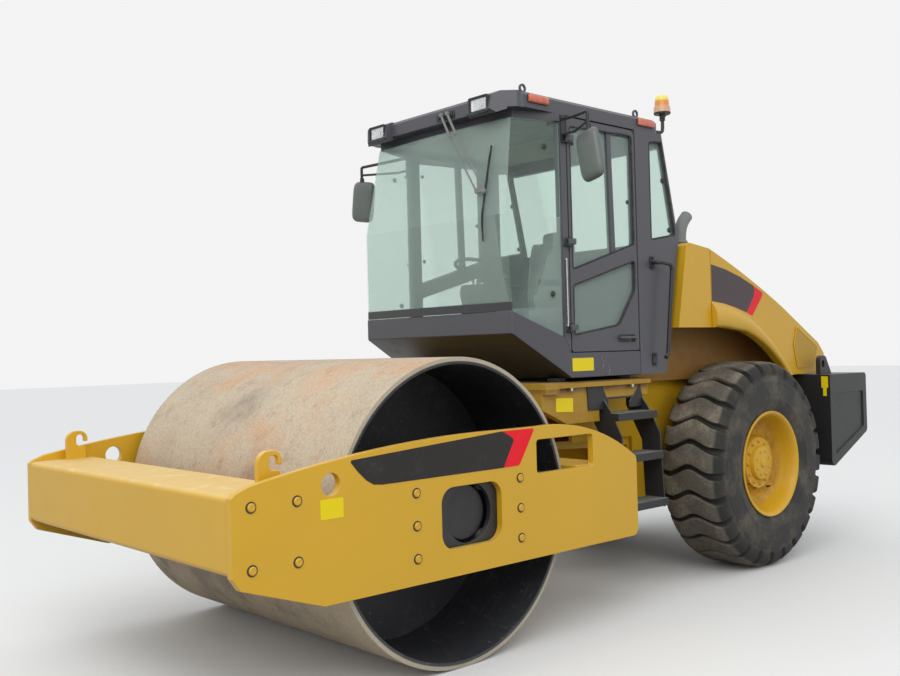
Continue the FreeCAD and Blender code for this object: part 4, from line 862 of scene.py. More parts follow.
class RollerWheelFittings(bpy.types.Operator):
    """Rims, wheel nuts, hub bolts and valves"""
    bl_idname = "roller.wheel_fittings"
    bl_label = "Fit the wheel nuts and valves"

    def execute(self, context):
        sizes = context.scene.roller_sizes
        for side, sign in SIDES:
            body = "wheel_" + side
            axis = OUT * sign

            def on_wheel(out, radius=0.0, turn=0.0):
                return Vector((AXLE.x + radius * math.cos(turn), sign * (WHEEL_Y + out),
                               AXLE.z + radius * math.sin(turn)))

            rim = Shape().lathe(RIM_SECTION, on_wheel(0), axis, 96)
            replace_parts(piece("wheel_rim_" + side, rim, body, "rim_paint", crease=32), "rim_" + side)
            nuts = Shape()
            for k in range(sizes.stud_count):
                turn = 2 * math.pi * k / sizes.stud_count
                nuts.lathe(nut_section(sizes.nut), on_wheel(0.1255, sizes.stud_ring, turn), axis, 6)
            piece("wheel_nuts_" + side, nuts, body, "yellow_paint", crease=25)
            caps = Shape()
            for k in range(HUB_BOLTS):
                caps.lathe(HUB_BOLT, on_wheel(0.1605, 0.088, 2 * math.pi * (k + 0.5) / HUB_BOLTS), axis, 6)
            caps.lathe(HUB_CAP, on_wheel(0.1605), axis, 24)
            piece("hub_bolts_" + side, caps, body, "yellow_paint", crease=25)
            low = Vector((AXLE.x - 0.2, sign * (WHEEL_Y + 0.062), AXLE.z - 0.2))
            valve = Shape().tube([low + Vector((x, sign * y, z)) for (x, y, z), _ in VALVE], [r for _, r in VALVE])
            piece("valve_" + side, valve, body, "rubber")
        return {"FINISHED"}


# Bolts on a side plate: x from the drum's axle, z from the ground
PLATE_BOLTS = [(x, z) for x in (0.383, -0.341) for z in (0.947, 0.788, 0.629)] + [
    (x, z) for x in (1.299, 1.067) for z in (0.990, 0.723)]


class RollerPlateBolts(bpy.types.Operator):
    """Bolts that hold the drum carriers and the front beam to the side plates, each in a black ring that is painted
    shade of the gap round its head
    """
    bl_idname = "roller.plate_bolts"
    bl_label = "Fit the side plate bolts"

    def execute(self, context):
        head = context.scene.roller_sizes.bolt
        # Black ring round each head: painted shade of the gap round it.
        shade_ring_section = [(0, head + 0.007), (0.0025, head + 0.0065), (0.003, head + 0.001), (0.001, head)]
        head_section = [(0, head), (0.006, head), (0.009, head - 0.003), (0.010, head * 0.55),
                        (0.0085, head * 0.5), (0.0085, 0)]
        heads, rings = Shape(), Shape()
        for x, z in PLATE_BOLTS:
            start = (DRUM.x + x, PLATE_FACE, z)
            rings.lathe(shade_ring_section, start, OUT)
            heads.lathe(head_section, start, OUT)
        piece("plate_bolt_shade_rings", rings.mirror(), "drum_frame", "black_paint", crease=30)
        piece("plate_bolt_heads", heads.mirror(), "drum_frame", "yellow_paint", crease=30)
        return {"FINISHED"}


# Films' outlines: x, z. A red film starts along the black one's end
PLATE_JOINT = [(1.441, 1.012), (1.427, 1.041), (1.366, 1.143), (1.364, 1.154), (1.382, 1.170)]
PLATE_BLACK = [(2.430, 1.141), (2.434, 1.131), (2.394, 1.084), (2.346, 1.040), (2.305, 1.017), (2.252, 1.011),
               *PLATE_JOINT, (1.447, 1.203)]
PLATE_RED = [(1.447, 1.203), (1.211, 1.203), (1.208, 1.190), (1.319, 1.022), (1.333, 1.013), *PLATE_JOINT]
HOOD_BLACK = [(-1.1245, 2.212), (-1.308, 2.183), (-1.508, 2.133), (-1.687, 2.072), (-1.705, 2.035), (-1.692, 1.992),
              (-1.585, 1.867), (-1.432, 1.903), (-1.284, 1.930), (-1.1245, 1.946)]
HOOD_RED = [(-1.687, 2.072), (-1.811, 2.024), (-1.818, 2.010), (-1.812, 1.994), (-1.668, 1.845), (-1.655, 1.842),
            (-1.585, 1.867), (-1.692, 1.992), (-1.705, 2.035)]
# name, body, plane's level on the left side, outline, finish, slot
FILMS = [("plate_film_black", "drum_frame", PLATE_FACE, PLATE_BLACK, "plate_film", "black_paint"),
         ("plate_film_red", "drum_frame", PLATE_FACE, PLATE_RED, "red_film", "black_paint"),
         ("hood_film_black", "hood", HOOD_HALF, HOOD_BLACK, "hood_film", "black_paint"),
         ("hood_film_red", "hood", HOOD_HALF, HOOD_RED, "red_film", "black_paint")]
# Blank labels: name, body, plane's level on the left side, corners
LABELS = [
    ("lift_label", "drum_frame", PLATE_FACE, [(2.608, 0.979), (2.481, 0.979), (2.481, 0.889), (2.608, 0.889)]),
    ("tub_label", "rear_frame", CAB_HALF, [(0.385, 1.566), (0.180, 1.566), (0.180, 1.484), (0.385, 1.484)]),
    ("deck_label", "rear_frame", DECK_HALF, [(0.494, 1.320), (0.334, 1.314), (0.335, 1.226), (0.496, 1.234)]),
]


class RollerFilms(bpy.types.Operator):
    """Plain black and red films on the side plates and the hood, and blank labels"""
    bl_idname = "roller.films"
    bl_label = "Stick the films"

    def execute(self, context):
        thick = context.scene.roller_sizes.film
        labels = [(name, body, face, rounded([(*c, 0.006) for c in corners], 3), "yellow_film", "yellow_paint")
                  for name, body, face, corners in LABELS]
        for name, body, face, outline, finish_name, slot in FILMS + labels:
            sheet = Shape().prism(outline, "xz", face - STUCK_IN, face + thick)
            piece(name, sheet.mirror(), body, finish_name, crease=20)
        lug = Shape()
        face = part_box("counterweight")[1].x
        for start, end in (((0.927, 1.352), (0.983, 1.262)), ((0.940, 1.262), (0.970, 1.196))):
            lug.prism(oblong(start, end, 0.004, 3), "yz", face - STUCK_IN, face + thick)
        piece("lug_labels", lug.mirror(), "rear_frame", "yellow_film", crease=20)
        splash = Shape().prism(oblong((0.016, 1.444), (0.150, 1.572), 0.02), "xz",
                               CAB_HALF - 0.0004, CAB_HALF + 0.0006)
        piece("sill_splash", splash, "rear_frame", "sill_scuff", crease=20)
        return {"FINISHED"}


def swell(obj, cap, frames=20):
    """Blows a closed cover up a little with cloth, moves no point further than the cap, and keeps the result."""
    mesh = obj.data
    before = [v.co.copy() for v in mesh.vertices]
    cloth = obj.modifiers.new("stuffing", "CLOTH")
    cloth.settings.use_pressure = True
    cloth.settings.uniform_pressure_force = 4
    cloth.settings.effector_weights.gravity = 0
    cloth.settings.quality = 5
    scene = bpy.context.scene
    for number in range(1, frames + 1):
        scene.frame_set(number)
    result = obj.evaluated_get(bpy.context.evaluated_depsgraph_get()).to_mesh()
    after = [v.co.copy() for v in result.vertices]
    obj.modifiers.remove(cloth)
    scene.frame_set(1)
    for vertex, start, end in zip(mesh.vertices, before, after):
        move = end - start
        if move.length > cap:
            move *= cap / move.length
        vertex.co = start + move


def cushion(name, low, high, body, lean, channels, cap):
    """A stuffed cushion from a box, leant about its lower rear edge, with sewn channels across it."""
    shape = Shape().block(low, high)
    bmesh.ops.subdivide_edges(shape.bm, edges=shape.bm.edges[:], cuts=8, use_grid_fill=True)
    centre = [(a + b) / 2 for a, b in zip(low, high)]
    half = [(b - a) / 2 for a, b in zip(low, high)]
    for v in shape.bm.verts:
        share = [(v.co[i] - centre[i]) / half[i] for i in range(3)]
        for i in range(3):
            one, other = share[(i + 1) % 3], share[(i + 2) % 3]
            pull = 1 - 0.10 * one ** 2 * other ** 2 - 0.05 * one ** 4
            v.co[i] = centre[i] + half[i] * share[i] * pull
    obj = piece(name, shape, body, "seat_cloth", crease=180)
    remesh = obj.modifiers.new("even cover", "REMESH")
    remesh.mode = "VOXEL"
    remesh.voxel_size = 0.011
    remesh.use_smooth_shade = True
    bpy.context.view_layer.update()
    made = bpy.data.meshes.new_from_object(obj.evaluated_get(bpy.context.evaluated_depsgraph_get()))
    obj.modifiers.remove(remesh)
    obj.data = made
    swell(obj, cap)
    direction, axis, places, depth = channels
    seam_width = 0.009
    for v in obj.data.vertices:
        if v.co[direction] > centre[direction]:
            v.co[direction] -= depth * sum(math.exp(-((v.co[axis] - place) / seam_width) ** 2) for place in places)
    pivot = Vector((low[0], 0, low[2]))
    obj.data.transform(Matrix.Translation(pivot) @ Matrix.Rotation(lean, 4, "Y") @ Matrix.Translation(-pivot))
    for polygon in obj.data.polygons:
        polygon.use_smooth = True
    smooth = obj.modifiers.new("soft cover", "SUBSURF")
    smooth.levels = smooth.render_levels = 1
    return obj


class RollerSeat(bpy.types.Operator):
    """Operator's seat: stuffed cushions on a suspension base with armrests"""
    bl_idname = "roller.seat"
    bl_label = "Fit the seat"

    def execute(self, context):
        cap = context.scene.roller_sizes.swell
        x = HINGE_X
        base = Shape()
        base.prism(oblong((x - 0.325, -0.19), (x + 0.005, 0.19), 0.03), "xy", 1.487, 1.53)
        rib, inset = 0.036, 0.012
        for k in range(6):
            base.stack("xy", [(oblong((x - 0.31 - grow, -0.175 - grow), (x - 0.01 + grow, 0.175 + grow), 0.04),
                               1.53 + rib * k + height)
                              for grow, height in ((0, 0), (inset, 0.009), (inset, 0.018), (0, 0.027), (0, rib))])
        base.prism(oblong((x - 0.37, -0.22), (x + 0.09, 0.22), 0.04), "xy", 1.746, 1.80)
        piece("seat_base", base, "rear_frame", "plastic", bevel=0.004)
        seat = cushion("seat_cushion", (x - 0.355, -0.228, 1.802), (x + 0.105, 0.228, 1.905), "rear_frame", 0.03,
                       (2, 0, (x - 0.2, x - 0.05), 0.008), cap)
        cushion("seat_back", (x - 0.375, -0.22, 1.905), (x - 0.29, 0.22, 2.42), "rear_frame", -0.13,
                (0, 2, (2.06, 2.22), 0.007), cap)
        cushion("seat_headrest", (x - 0.47, -0.12, 2.36), (x - 0.40, 0.12, 2.475), "rear_frame", -0.08,
                (0, 2, (), 0.0), cap * 0.6)
        arms, belt = Shape(), Shape()
        for side in (-1, 1):
            arms.prism(rounded([(x - 0.33, side * 0.25), (x + 0.06, side * 0.25, 0.02), (x + 0.06, side * 0.31, 0.02),
                                (x - 0.33, side * 0.31)]), "xy", 2.062, 2.105)
            arms.prism([(x - 0.30, 1.86), (x - 0.24, 1.86), (x - 0.25, 2.064), (x - 0.31, 2.064)], "xz",
                       side * 0.262, side * 0.29)
            belt.block((x - 0.31, side * 0.243 - 0.012, 1.80), (x - 0.27, side * 0.243 + 0.012, 1.90))
        piece("seat_arms", arms, "rear_frame", "plastic", bevel=0.008, segments=3)
        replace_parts(seat, "seat")
        piece("belt_anchors", belt, "rear_frame", "plastic", bevel=0.003)
        return {"FINISHED"}


# Steering column: height, reach ahead of the hinge, start, half width
COLUMN = [(1.52, 0.475, 0.335, 0.105), (1.75, 0.47, 0.335, 0.095), (1.95, 0.458, 0.335, 0.09),
          (2.02, 0.462, 0.318, 0.105), (2.075, 0.45, 0.33, 0.10)]
STEERING_RING = 0.186
STEERING_HUB = [(-0.03, 0.03), (-0.012, 0.042), (0.002, 0.044), (0.010, 0.036), (0.012, 0)]
STEERING_KNOB = [(0, 0.006), (0.02, 0.006), (0.024, 0.018), (0.045, 0.021), (0.056, 0.012), (0.058, 0)]
DIAL_RING = [(0, 0.024), (0.004, 0.024), (0.005, 0.020), (0.002, 0.020)]
LEVER_BOOT = [(0, 0.04), (0.008, 0.038), (0.02, 0.026), (0.03, 0.012), (0.04, 0.010)]
LEVER_GRIP = [(0, 0.012), (0.02, 0.02), (0.05, 0.023), (0.07, 0.018), (0.08, 0.0)]


class RollerControls(bpy.types.Operator):
    """Steering column, wheel, instrument box, levers and pedals"""
    bl_idname = "roller.controls"
    bl_label = "Fit the controls"

    def execute(self, context):
        x = HINGE_X
        column = Shape().stack("xy", [(oblong((x + rear, -half), (x + front, half), 0.03), z)
                                      for z, front, rear, half in COLUMN])
        post = piece("steering_column", column, "rear_frame", "plastic", bevel=0.006, crease=50)
        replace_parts(post, "console")
        hub = Vector((x + 0.330, 0, 2.18))
        axis = Vector((-0.35, 0, 1)).normalized()
        across = axis.cross(OUT)
        wheel = Shape().loop_tube(circle(hub, OUT, across, STEERING_RING, 64), 0.0125, 12)
        wheel.lathe(STEERING_HUB, hub, axis)
        for angle in (90, 210, 330):
            a = math.radians(angle)
            end = hub + (OUT * math.cos(a) + across * math.sin(a)) * (STEERING_RING - 0.008)
            wheel.tube([hub - axis * 0.012, hub.lerp(end, 0.5) - axis * 0.006, end], [0.014, 0.010, 0.008], 10)
        wheel.tube([hub - axis * 0.11, hub - axis * 0.02], 0.021, 20)
        wheel.lathe(STEERING_KNOB, hub + (OUT * 0.8 + across * -0.6) * STEERING_RING, axis, 20)
        piece("steering_wheel", wheel, "rear_frame", "plastic", crease=50)
        dials = Shape()
        for y in (-0.06, 0.0, 0.06):
            dials.lathe(DIAL_RING, (x + 0.395, y, 2.074), (-0.2, 0, 1), 24, ring=True)
        piece("dial_rings", dials, "rear_frame", "chrome_rod", crease=30)
        side_box = Shape().prism(oblong((x - 0.30, -0.46), (x + 0.10, -0.345), 0.03), "xy", 1.487, 1.97)
        piece("side_console", side_box, "rear_frame", "plastic", bevel=0.01, segments=3)
        foot = Vector((x + 0.02, -0.40, 1.968))
        stick = Shape().lathe(LEVER_BOOT, foot, UP, 20)
        stick.tube([foot + Vector(step) for step in ((0, 0, 0.03), (0.01, 0, 0.12), (0.02, 0, 0.20))],
                   [0.008, 0.008, 0.007])
        stick.lathe(LEVER_GRIP, foot + Vector((0.02, 0, 0.19)), (0.1, 0, 1), 20)
        piece("travel_lever", stick, "rear_frame", "rubber", crease=50)
        lining = Shape().prism(rounded([(x - 0.64, -0.66, 0.06), (x + 0.62, -0.63, 0.06), (x + 0.62, 0.63, 0.06),
                                        (x - 0.64, 0.66, 0.06)]), "xy", 3.084, 3.099)
        lining.prism(oblong((x - 0.55, -0.30), (x - 0.05, 0.30), 0.05), "xy", 3.060, 3.086)
        piece("roof_lining", lining, "rear_frame", "lining", bevel=0.004)
        pedals = Shape()
        for y in (-0.26, 0.26):
            pedals.block((x + 0.46, y - 0.04, 1.66), (x + 0.475, y + 0.04, 1.76))
            pedals.tube([(x + 0.52, y, 1.58), (x + 0.50, y, 1.64), (x + 0.475, y, 1.70)], 0.009)
        piece("pedals", pedals, "rear_frame", "rubber", bevel=0.003)
        return {"FINISHED"}


MIRROR = Vector((HINGE_X + 0.49, 1.098, 2.768))
# Mirror's rounded back, from its middle to its rim: share of its size, share of its depth
MIRROR_SHELL = [(0.15, 0.0), (0.5, 0.02), (0.74, 0.09), (0.88, 0.24), (0.96, 0.45), (1.0, 0.72), (1.0, 0.94),
                (0.985, 1.0), (0.945, 1.0)]
MIRROR_TURN = (("Z", -13), ("X", 9), ("Y", 3))
MIRROR_POINTS = 48
# Tubes of the mirror's bracket: points from its foot on the cab, then from the mirror's middle; radius, sides
UPPER_ARM = ([(0, -0.002, 3.062), (0, 0.09, 3.062), (0.012, 0.135, 3.060)],
             [(-0.01, -0.03, 0.262), (0.005, -0.008, 0.256), (0.008, -0.002, 0.232), (0.004, 0, 0.09)], 0.0105, 14)
LOWER_ARM = ([(0, -0.002, 2.968), (0, 0.09, 2.968), (0.012, 0.135, 2.968)], [(0.006, -0.004, 0.2)], 0.0085, 12)


def mirror_loop(place, half_width, half_height, depth):
    """Rounded oblong of the mirror's face, set at a depth behind its front."""
    loop = []
    for k in range(MIRROR_POINTS):
        a = 2 * math.pi * k / MIRROR_POINTS
        c, s = math.cos(a), math.sin(a)
        across = math.copysign(abs(c) ** 0.42, c) * half_width
        up = math.copysign(abs(s) ** 0.32, s) * half_height
        loop.append(place @ Vector((-depth, across, up)))
    return loop


class RollerMirrors(bpy.types.Operator):
    """Mirrors: rounded heads on brackets of two tubes, with their glass"""
    bl_idname = "roller.mirrors"
    bl_label = "Fit the mirrors"

    def execute(self, context):
        root = HINGE_X + 0.340
        arms = Shape()
        for near, far, radius, steps in (UPPER_ARM, LOWER_ARM):
            line = [(root + x, CAB_HALF + y, z) for x, y, z in near] + [MIRROR + Vector(step) for step in far]
            arms.tube(smooth_line(line), radius, steps)
        arms.prism(oblong((root - 0.036, 2.925), (root + 0.010, 3.09), 0.01, 4), "xz", CAB_HALF, CAB_HALF + 0.007)
        arms.lathe([(-0.02, 0.016), (0.02, 0.016)], (MIRROR.x + 0.004, MIRROR.y, 2.925), UP, 20)
        arms = piece("mirror_arms", arms.mirror(), "rear_frame", "black_paint")
        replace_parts(arms, "mirrors")
        place = Matrix.Translation(MIRROR)
        for axis, angle in MIRROR_TURN:
            place = place @ Matrix.Rotation(math.radians(angle), 4, axis)
        heads = Shape().skin([mirror_loop(place, 0.098 * share, 0.151 * share, 0.046 * out - 0.03)
                              for share, out in MIRROR_SHELL], capped=False)
        heads.bm.faces.new(heads.bm.verts[:MIRROR_POINTS])
        piece("mirror_heads", heads.mirror(), "rear_frame", "mirror_shell", crease=60)
        panes = Shape().skin([mirror_loop(place, 0.0935, 0.1445, depth) for depth in (0.013, 0.0145)])
        piece("mirror_panes", panes.mirror(), "rear_frame", "mirror_glass", crease=30)
        return {"FINISHED"}


# Tail lamp's parts: name, finish, inner and outer edge
TAIL_PARTS = [("tail_lenses_red", "tail_lens", 0.724, 0.806), ("tail_lenses_amber", "amber", 0.809, 0.861),
              ("tail_lenses_clear", "lamp", 0.864, 0.896)]
# Marker lens: step along it, share of its section
MARKER_LENS = [(-0.086, 0.8), (-0.084, 0.93), (-0.078, 1.0), (0.078, 1.0), (0.084, 0.93), (0.086, 0.8)]
MARKER_ARC = 14


class RollerLamps(bpy.types.Operator):
    """Work lamps, amber markers and tail lamps"""
    bl_idname = "roller.lamps"
    bl_label = "Fit the lamps"

    def execute(self, context):
        self.fit_work_lamps()
        self.fit_markers()
        rear = AXLE.x - 1.58
        for name, kind, left, right in TAIL_PARTS:
            cover = Shape().prism(oblong((left, 1.195), (right, 1.275), 0.006, 3), "yz", rear + 0.006, rear + 0.024)
            lens = piece(name, cover.mirror(), "rear_frame", kind, bevel=0.003)
            if kind == "tail_lens":
                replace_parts(lens, "tail_lamps")
        case = Shape().prism([(0.7203, 1.1903), (0.8997, 1.1903), (0.8997, 1.2797), (0.7203, 1.2797)], "yz",
                             rear + 0.022, rear + 0.04)
        piece("tail_lamp_cases", case.mirror(), "rear_frame", "plastic", bevel=0.002)
        return {"FINISHED"}

    def fit_work_lamps(self):
        back = HINGE_X + 0.788
        front = back + 0.027
        y0, y1, z0, z1 = 0.4255, 0.5745, 3.0925, 3.1795
        wall, lip = 0.008, 0.012
        outer = oblong((y0, z0), (y1, z1), 0.01, 4)
        inner = oblong((y0 + wall, z0 + wall), (y1 - wall, z1 - wall), 0.008, 4)
        hood = oblong((y0 - lip, z0 - lip), (y1 + lip, z1 + 0.008), 0.014, 4)
        middle = Vector(((y0 + y1) / 2, (z0 + z1) / 2))

        def shrunk(share):
            return [middle + (p - middle) * share for p in inner]

        rim = Shape().stack("yz", [(outer, back), (outer, front), (inner, front - 0.001), (inner, back + 0.002)])
        rims = piece("work_lamp_rims", rim.mirror(), "rear_frame", "plastic", crease=30)
        hoods = Shape().stack("yz", [(hood, back + lip), (hood, front + 0.004), (outer, front + 0.004),
                                     (outer, back + lip)], ring=True)
        piece("work_lamp_hoods", hoods.mirror(), "rear_frame", "plastic", crease=30)
        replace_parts(rims, "work_lamps")
        bowl = Shape().skin([[PLANES["yz"](*p, level) for p in shrunk(share)] for share, level in (
            (1.0, front - 0.006), (0.8, back + 0.012), (0.55, back + 0.006), (0.25, back + 0.004))], capped=False)
        bowl.lathe([(0, 0.012), (0.008, 0.012), (0.012, 0.007), (0.012, 0)], (back + 0.004, *middle), (1, 0, 0), 16)
        piece("work_lamp_bowls", bowl.mirror(), "rear_frame", "reflector", crease=50)
        lens = Shape().stack("yz", [(shrunk(1.0), front - 0.006), (shrunk(1.0), front - 0.003),
                                    (shrunk(0.6), front - 0.0015)])
        piece("work_lamp_lenses", lens.mirror(), "rear_frame", "lamp", crease=30)

    def fit_markers(self):
        markers, bases = Shape(), Shape()
        for centre in (HINGE_X + 0.536, HINGE_X - 0.549):
            bases.prism(oblong((centre - 0.09, 3.132), (centre + 0.09, 3.186), 0.01, 4), "xz", 0.735, 0.740)
            markers.skin([[Vector((centre + along, 0.7395 + 0.0185 * size * max(0.0, math.sin(a)) ** 0.6,
                                   3.159 - 0.0245 * size * math.copysign(abs(math.cos(a)) ** 0.7, math.cos(a))))
                           for a in (math.pi * k / MARKER_ARC for k in range(MARKER_ARC + 1))]
                          for along, size in MARKER_LENS])
        lit = piece("marker_lenses", markers.mirror(), "rear_frame", "amber", crease=50)
        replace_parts(lit, "marker_lamps")
        piece("marker_bases", bases.mirror(), "rear_frame", "plastic", bevel=0.0015)


# Beacon, from below: distance, radius
BEACON_SOCKET = [(0, 0.014), (0.004, 0.020), (0.036, 0.020), (0.046, 0.026), (0.048, 0.014)]
BEACON_RING = [(0, 0.045), (0.002, 0.057), (0.010, 0.0605), (0.014, 0.0605), (0.015, 0.055)]
BEACON_DOME = [(0, 0.056), (0.002, 0.0595), (0.040, 0.0590), (0.045, 0.057), (0.048, 0.0515), (0.086, 0.0500),
               (0.104, 0.047), (0.118, 0.039), (0.126, 0.024), (0.128, 0.010), (0.1285, 0)]


class RollerBeacon(bpy.types.Operator):
    """Flashing beacon: dome on a wide ring, on its bent pole with a wing bolt"""
    bl_idname = "roller.beacon"
    bl_label = "Fit the beacon"

    def execute(self, context):
        x, y = HINGE_X - 0.885, 0.640
        line = [(HINGE_X - 0.725, 3.15), (x + 0.06, 3.15), (x + 0.014, 3.158), (x, 3.19), (x, 3.29)]
        pole = Shape().tube(smooth_line([(a, y, z) for a, z in line], 6), 0.0125, 14)
        pole.lathe(BEACON_SOCKET, (x, y, 3.238), UP, 20)
        pole.tube([(x + 0.012, y + 0.012, 3.256), (x + 0.026, y + 0.034, 3.256), (x + 0.024, y + 0.046, 3.266)],
                  0.0055, 8)
        pole.lathe(BEACON_RING, (x, y, 3.284), UP, 48)
        foot = piece("beacon_foot", pole, "rear_frame", "plastic", crease=45)
        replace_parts(foot, "beacon")
        piece("beacon_dome", Shape().lathe(BEACON_DOME, (x, y, 3.296), UP, 56), "rear_frame", "beacon",
              crease=50)
        return {"FINISHED"}


WIPER_NUT = [(0, 0.012), (0.006, 0.012), (0.008, 0.009)]
WIPER_PIVOT = [(-0.012, 0.013), (0.010, 0.013), (0.013, 0.010)]
WIPER_CLAMP = [(0, 0.015), (0.020, 0.015), (0.024, 0.010)]
# Wiper rods: y at the top, then y and z at the foot
WIPER_RODS = [(0.128, 0.455, 2.610), (0.186, 0.512, 2.627)]
# A rod's thick upper and thin lower length: share of the way down, step ahead
WIPER_THICK = [(0.0, 0.0), (0.12, 0.006), (0.30, 0.010)]
WIPER_THIN = [(0.28, 0.009), (0.6, 0.008), (1.0, 0.0)]
WIPER_BLADE = [(0.737, 0.528, 2.889), (0.766, 0.523, 2.735), (0.792, 0.517, 2.585), (0.8135, 0.511, 2.45),
               (0.8095, 0.505, 2.296)]


class RollerWiper(bpy.types.Operator):
    """Wiper: two rods from the roof's front edge, their end bar, and the blade that they carry"""
    bl_idname = "roller.wiper"
    bl_label = "Fit the wiper"

    def execute(self, context):
        x = HINGE_X
        plate = Shape().prism(oblong((0.070, 3.110), (0.240, 3.158), 0.008, 4), "yz", x + 0.770, x + 0.775)
        for y in (0.095, 0.215):
            plate.lathe(WIPER_NUT, (x + 0.774, y, 3.134), AHEAD, 6)
        piece("wiper_plate", plate, "rear_frame", "black_paint", bevel=0.001)
        rods = Shape()
        for top_y, foot_y, foot_z in WIPER_RODS:
            start = Vector((x + 0.786, top_y, 3.145))
            end = Vector((x + 0.808, foot_y, foot_z))
            rods.lathe(WIPER_PIVOT, start, AHEAD, 20)
            for bends, steps, radius in ((WIPER_THICK, 4, 0.0085), (WIPER_THIN, 6, 0.0055)):
                line = [start.lerp(end, share) + AHEAD * step for share, step in bends]
                rods.tube(smooth_line(line, steps), radius)
        rods.prism(rounded([(0.444, 2.594, 0.010), (0.526, 2.604, 0.012), (0.526, 2.638, 0.012),
                            (0.444, 2.626, 0.010)], 4), "yz", x + 0.800, x + 0.812)
        rods.lathe(WIPER_CLAMP, (x + 0.793, 0.517, 2.602), AHEAD, 20)
        rods = piece("wiper_rods", rods, "rear_frame", "stack_paint", crease=40)
        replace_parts(rods, "wiper")
        line = smooth_line([(x + a, y, z) for a, y, z in WIPER_BLADE], 6)
        blade = Shape().tube(line, 0.0055, 8)
        blade.tube([p + AHEAD * 0.0065 for p in line[2:-2]], 0.0035, 8)
        piece("wiper_blade", blade, "rear_frame", "rubber")
        return {"FINISHED"}


# Windows of the cab's side: x from the hinge, z, corner radius
QUARTER = [(-0.565, 2.360, 0.02), (-0.845, 2.408, 0.02), (-0.706, 3.050, 0.02), (-0.565, 3.030, 0.02)]
UPPER = [(0.262, 2.126, 0.02), (-0.372, 2.318, 0.02), (-0.372, 3.050, 0.025), (0.262, 3.030, 0.025)]
LOWER = [(0.262, 1.712, 0.015), (-0.190, 1.775, 0.11), (-0.368, 2.010, 0.13), (-0.372, 2.208, 0.02),
         (0.262, 2.026, 0.02)]
SEAL_LEVEL = CAB_HALF - 0.004
PANE_LEVEL = CAB_HALF - 0.022
# Knobs that hold the fixed panes: x from the hinge, level, z
PANE_KNOBS = [(0.480, 0.728, 2.879), (0.438, 0.7335, 1.968), (-0.735, PANE_LEVEL, 2.783), (-0.80, PANE_LEVEL, 2.441)]
KNOB = [(0, 0.018), (0.005, 0.018), (0.009, 0.012), (0.012, 0.011), (0.014, 0.0)]


def window_seal(shape, corners, radius, level):
    outline = rounded([(HINGE_X + c[0], *c[1:]) for c in corners], 8)
    shape.loop_tube([PLANES["xz"](a, b, level) for a, b in outline], radius)


class RollerGlassTrim(bpy.types.Operator):
    """Rubber seals round the windows and the knobs that hold the panes"""
    bl_idname = "roller.glass_trim"
    bl_label = "Trim the windows"

    def execute(self, context):
        seal = context.scene.roller_sizes.seal
        fixed = Shape()
        window_seal(fixed, QUARTER, seal, SEAL_LEVEL)
        piece("quarter_window_seals", fixed.mirror(), "rear_frame", "rubber", crease=180)
        for side, sign in SIDES:
            seals = Shape()
            for corners in (UPPER, LOWER):
                window_seal(seals, corners, seal, sign * SEAL_LEVEL)
            piece("door_window_seals_" + side, seals, "door_" + side, "rubber", crease=180)
        knobs = Shape()
        for x, y, z in PANE_KNOBS:
            knobs.lathe(KNOB, (HINGE_X + x, y, z), (0.06, 1, 0), 20)
        piece("pane_knobs", knobs.mirror(), "rear_frame", "plastic", crease=40)
        return {"FINISHED"}


DOOR_LOCK = [(0, 0.010), (0.006, 0.010), (0.008, 0.007), (0.008, 0)]
DOOR_CLAMP = [(0, 0.014), (0.004, 0.014), (0.007, 0.010), (0.008, 0.0)]


class RollerDoorTrim(bpy.types.Operator):
    """Handle plate, lock and glass clamps of each door"""
    bl_idname = "roller.door_trim"
    bl_label = "Trim the doors"

    def execute(self, context):
        for side, sign in SIDES:
            body = "door_" + side
            plate = Shape().prism(oblong((HINGE_X - 0.352, 1.662), (HINGE_X - 0.168, 1.712), 0.018), "xz",
                                  sign * (CAB_HALF - 0.001), sign * (CAB_HALF + 0.004))
            plate.lathe(DOOR_LOCK, (HINGE_X - 0.338, sign * (CAB_HALF + 0.003), 1.674), OUT * sign, 20)
            piece("door_handle_plate_" + side, plate, body, "rubber", bevel=0.002)
            clamps = Shape()
            for x, z in ((0.215, 2.30), (0.215, 2.93), (-0.335, 2.60)):
                clamps.lathe(DOOR_CLAMP, (HINGE_X + x, sign * PANE_LEVEL, z), OUT * sign, 18)
            piece("door_glass_clamps_" + side, clamps, body, "plastic", crease=40)
        return {"FINISHED"}


VENT = [(-2.3075, 1.760, 0.012), (-2.2575, 1.610, 0.012), (-2.3075, 1.425, 0.02), (-2.5875, 1.438, 0.02),
        (-2.6375, 1.590, 0.012)]


class RollerHoodTrim(bpy.types.Operator):
    """Perforated vent panels of the hood, each in a thin rim"""
    bl_idname = "roller.hood_trim"
    bl_label = "Trim the hood"

    def execute(self, context):
        outline = rounded(VENT, 5)
        centre = sum(outline, Vector((0, 0))) / len(outline)
        inner = [centre + (p - centre) * 0.955 for p in outline]
        top = HOOD_HALF + 0.0095
        rims = Shape().stack("xz", [(outline, HOOD_HALF + 0.001), (outline, top), (inner, top),
                                    (inner, HOOD_HALF + 0.004)], ring=True)
        piece("vent_rims", rims.mirror(), "hood", "yellow_paint", crease=30)
        screens = Shape().prism(inner, "xz", HOOD_HALF + 0.0062, HOOD_HALF + 0.0075)
        piece("vent_screens", screens.mirror(), "hood", "vent_screen", crease=30)
        return {"FINISHED"}


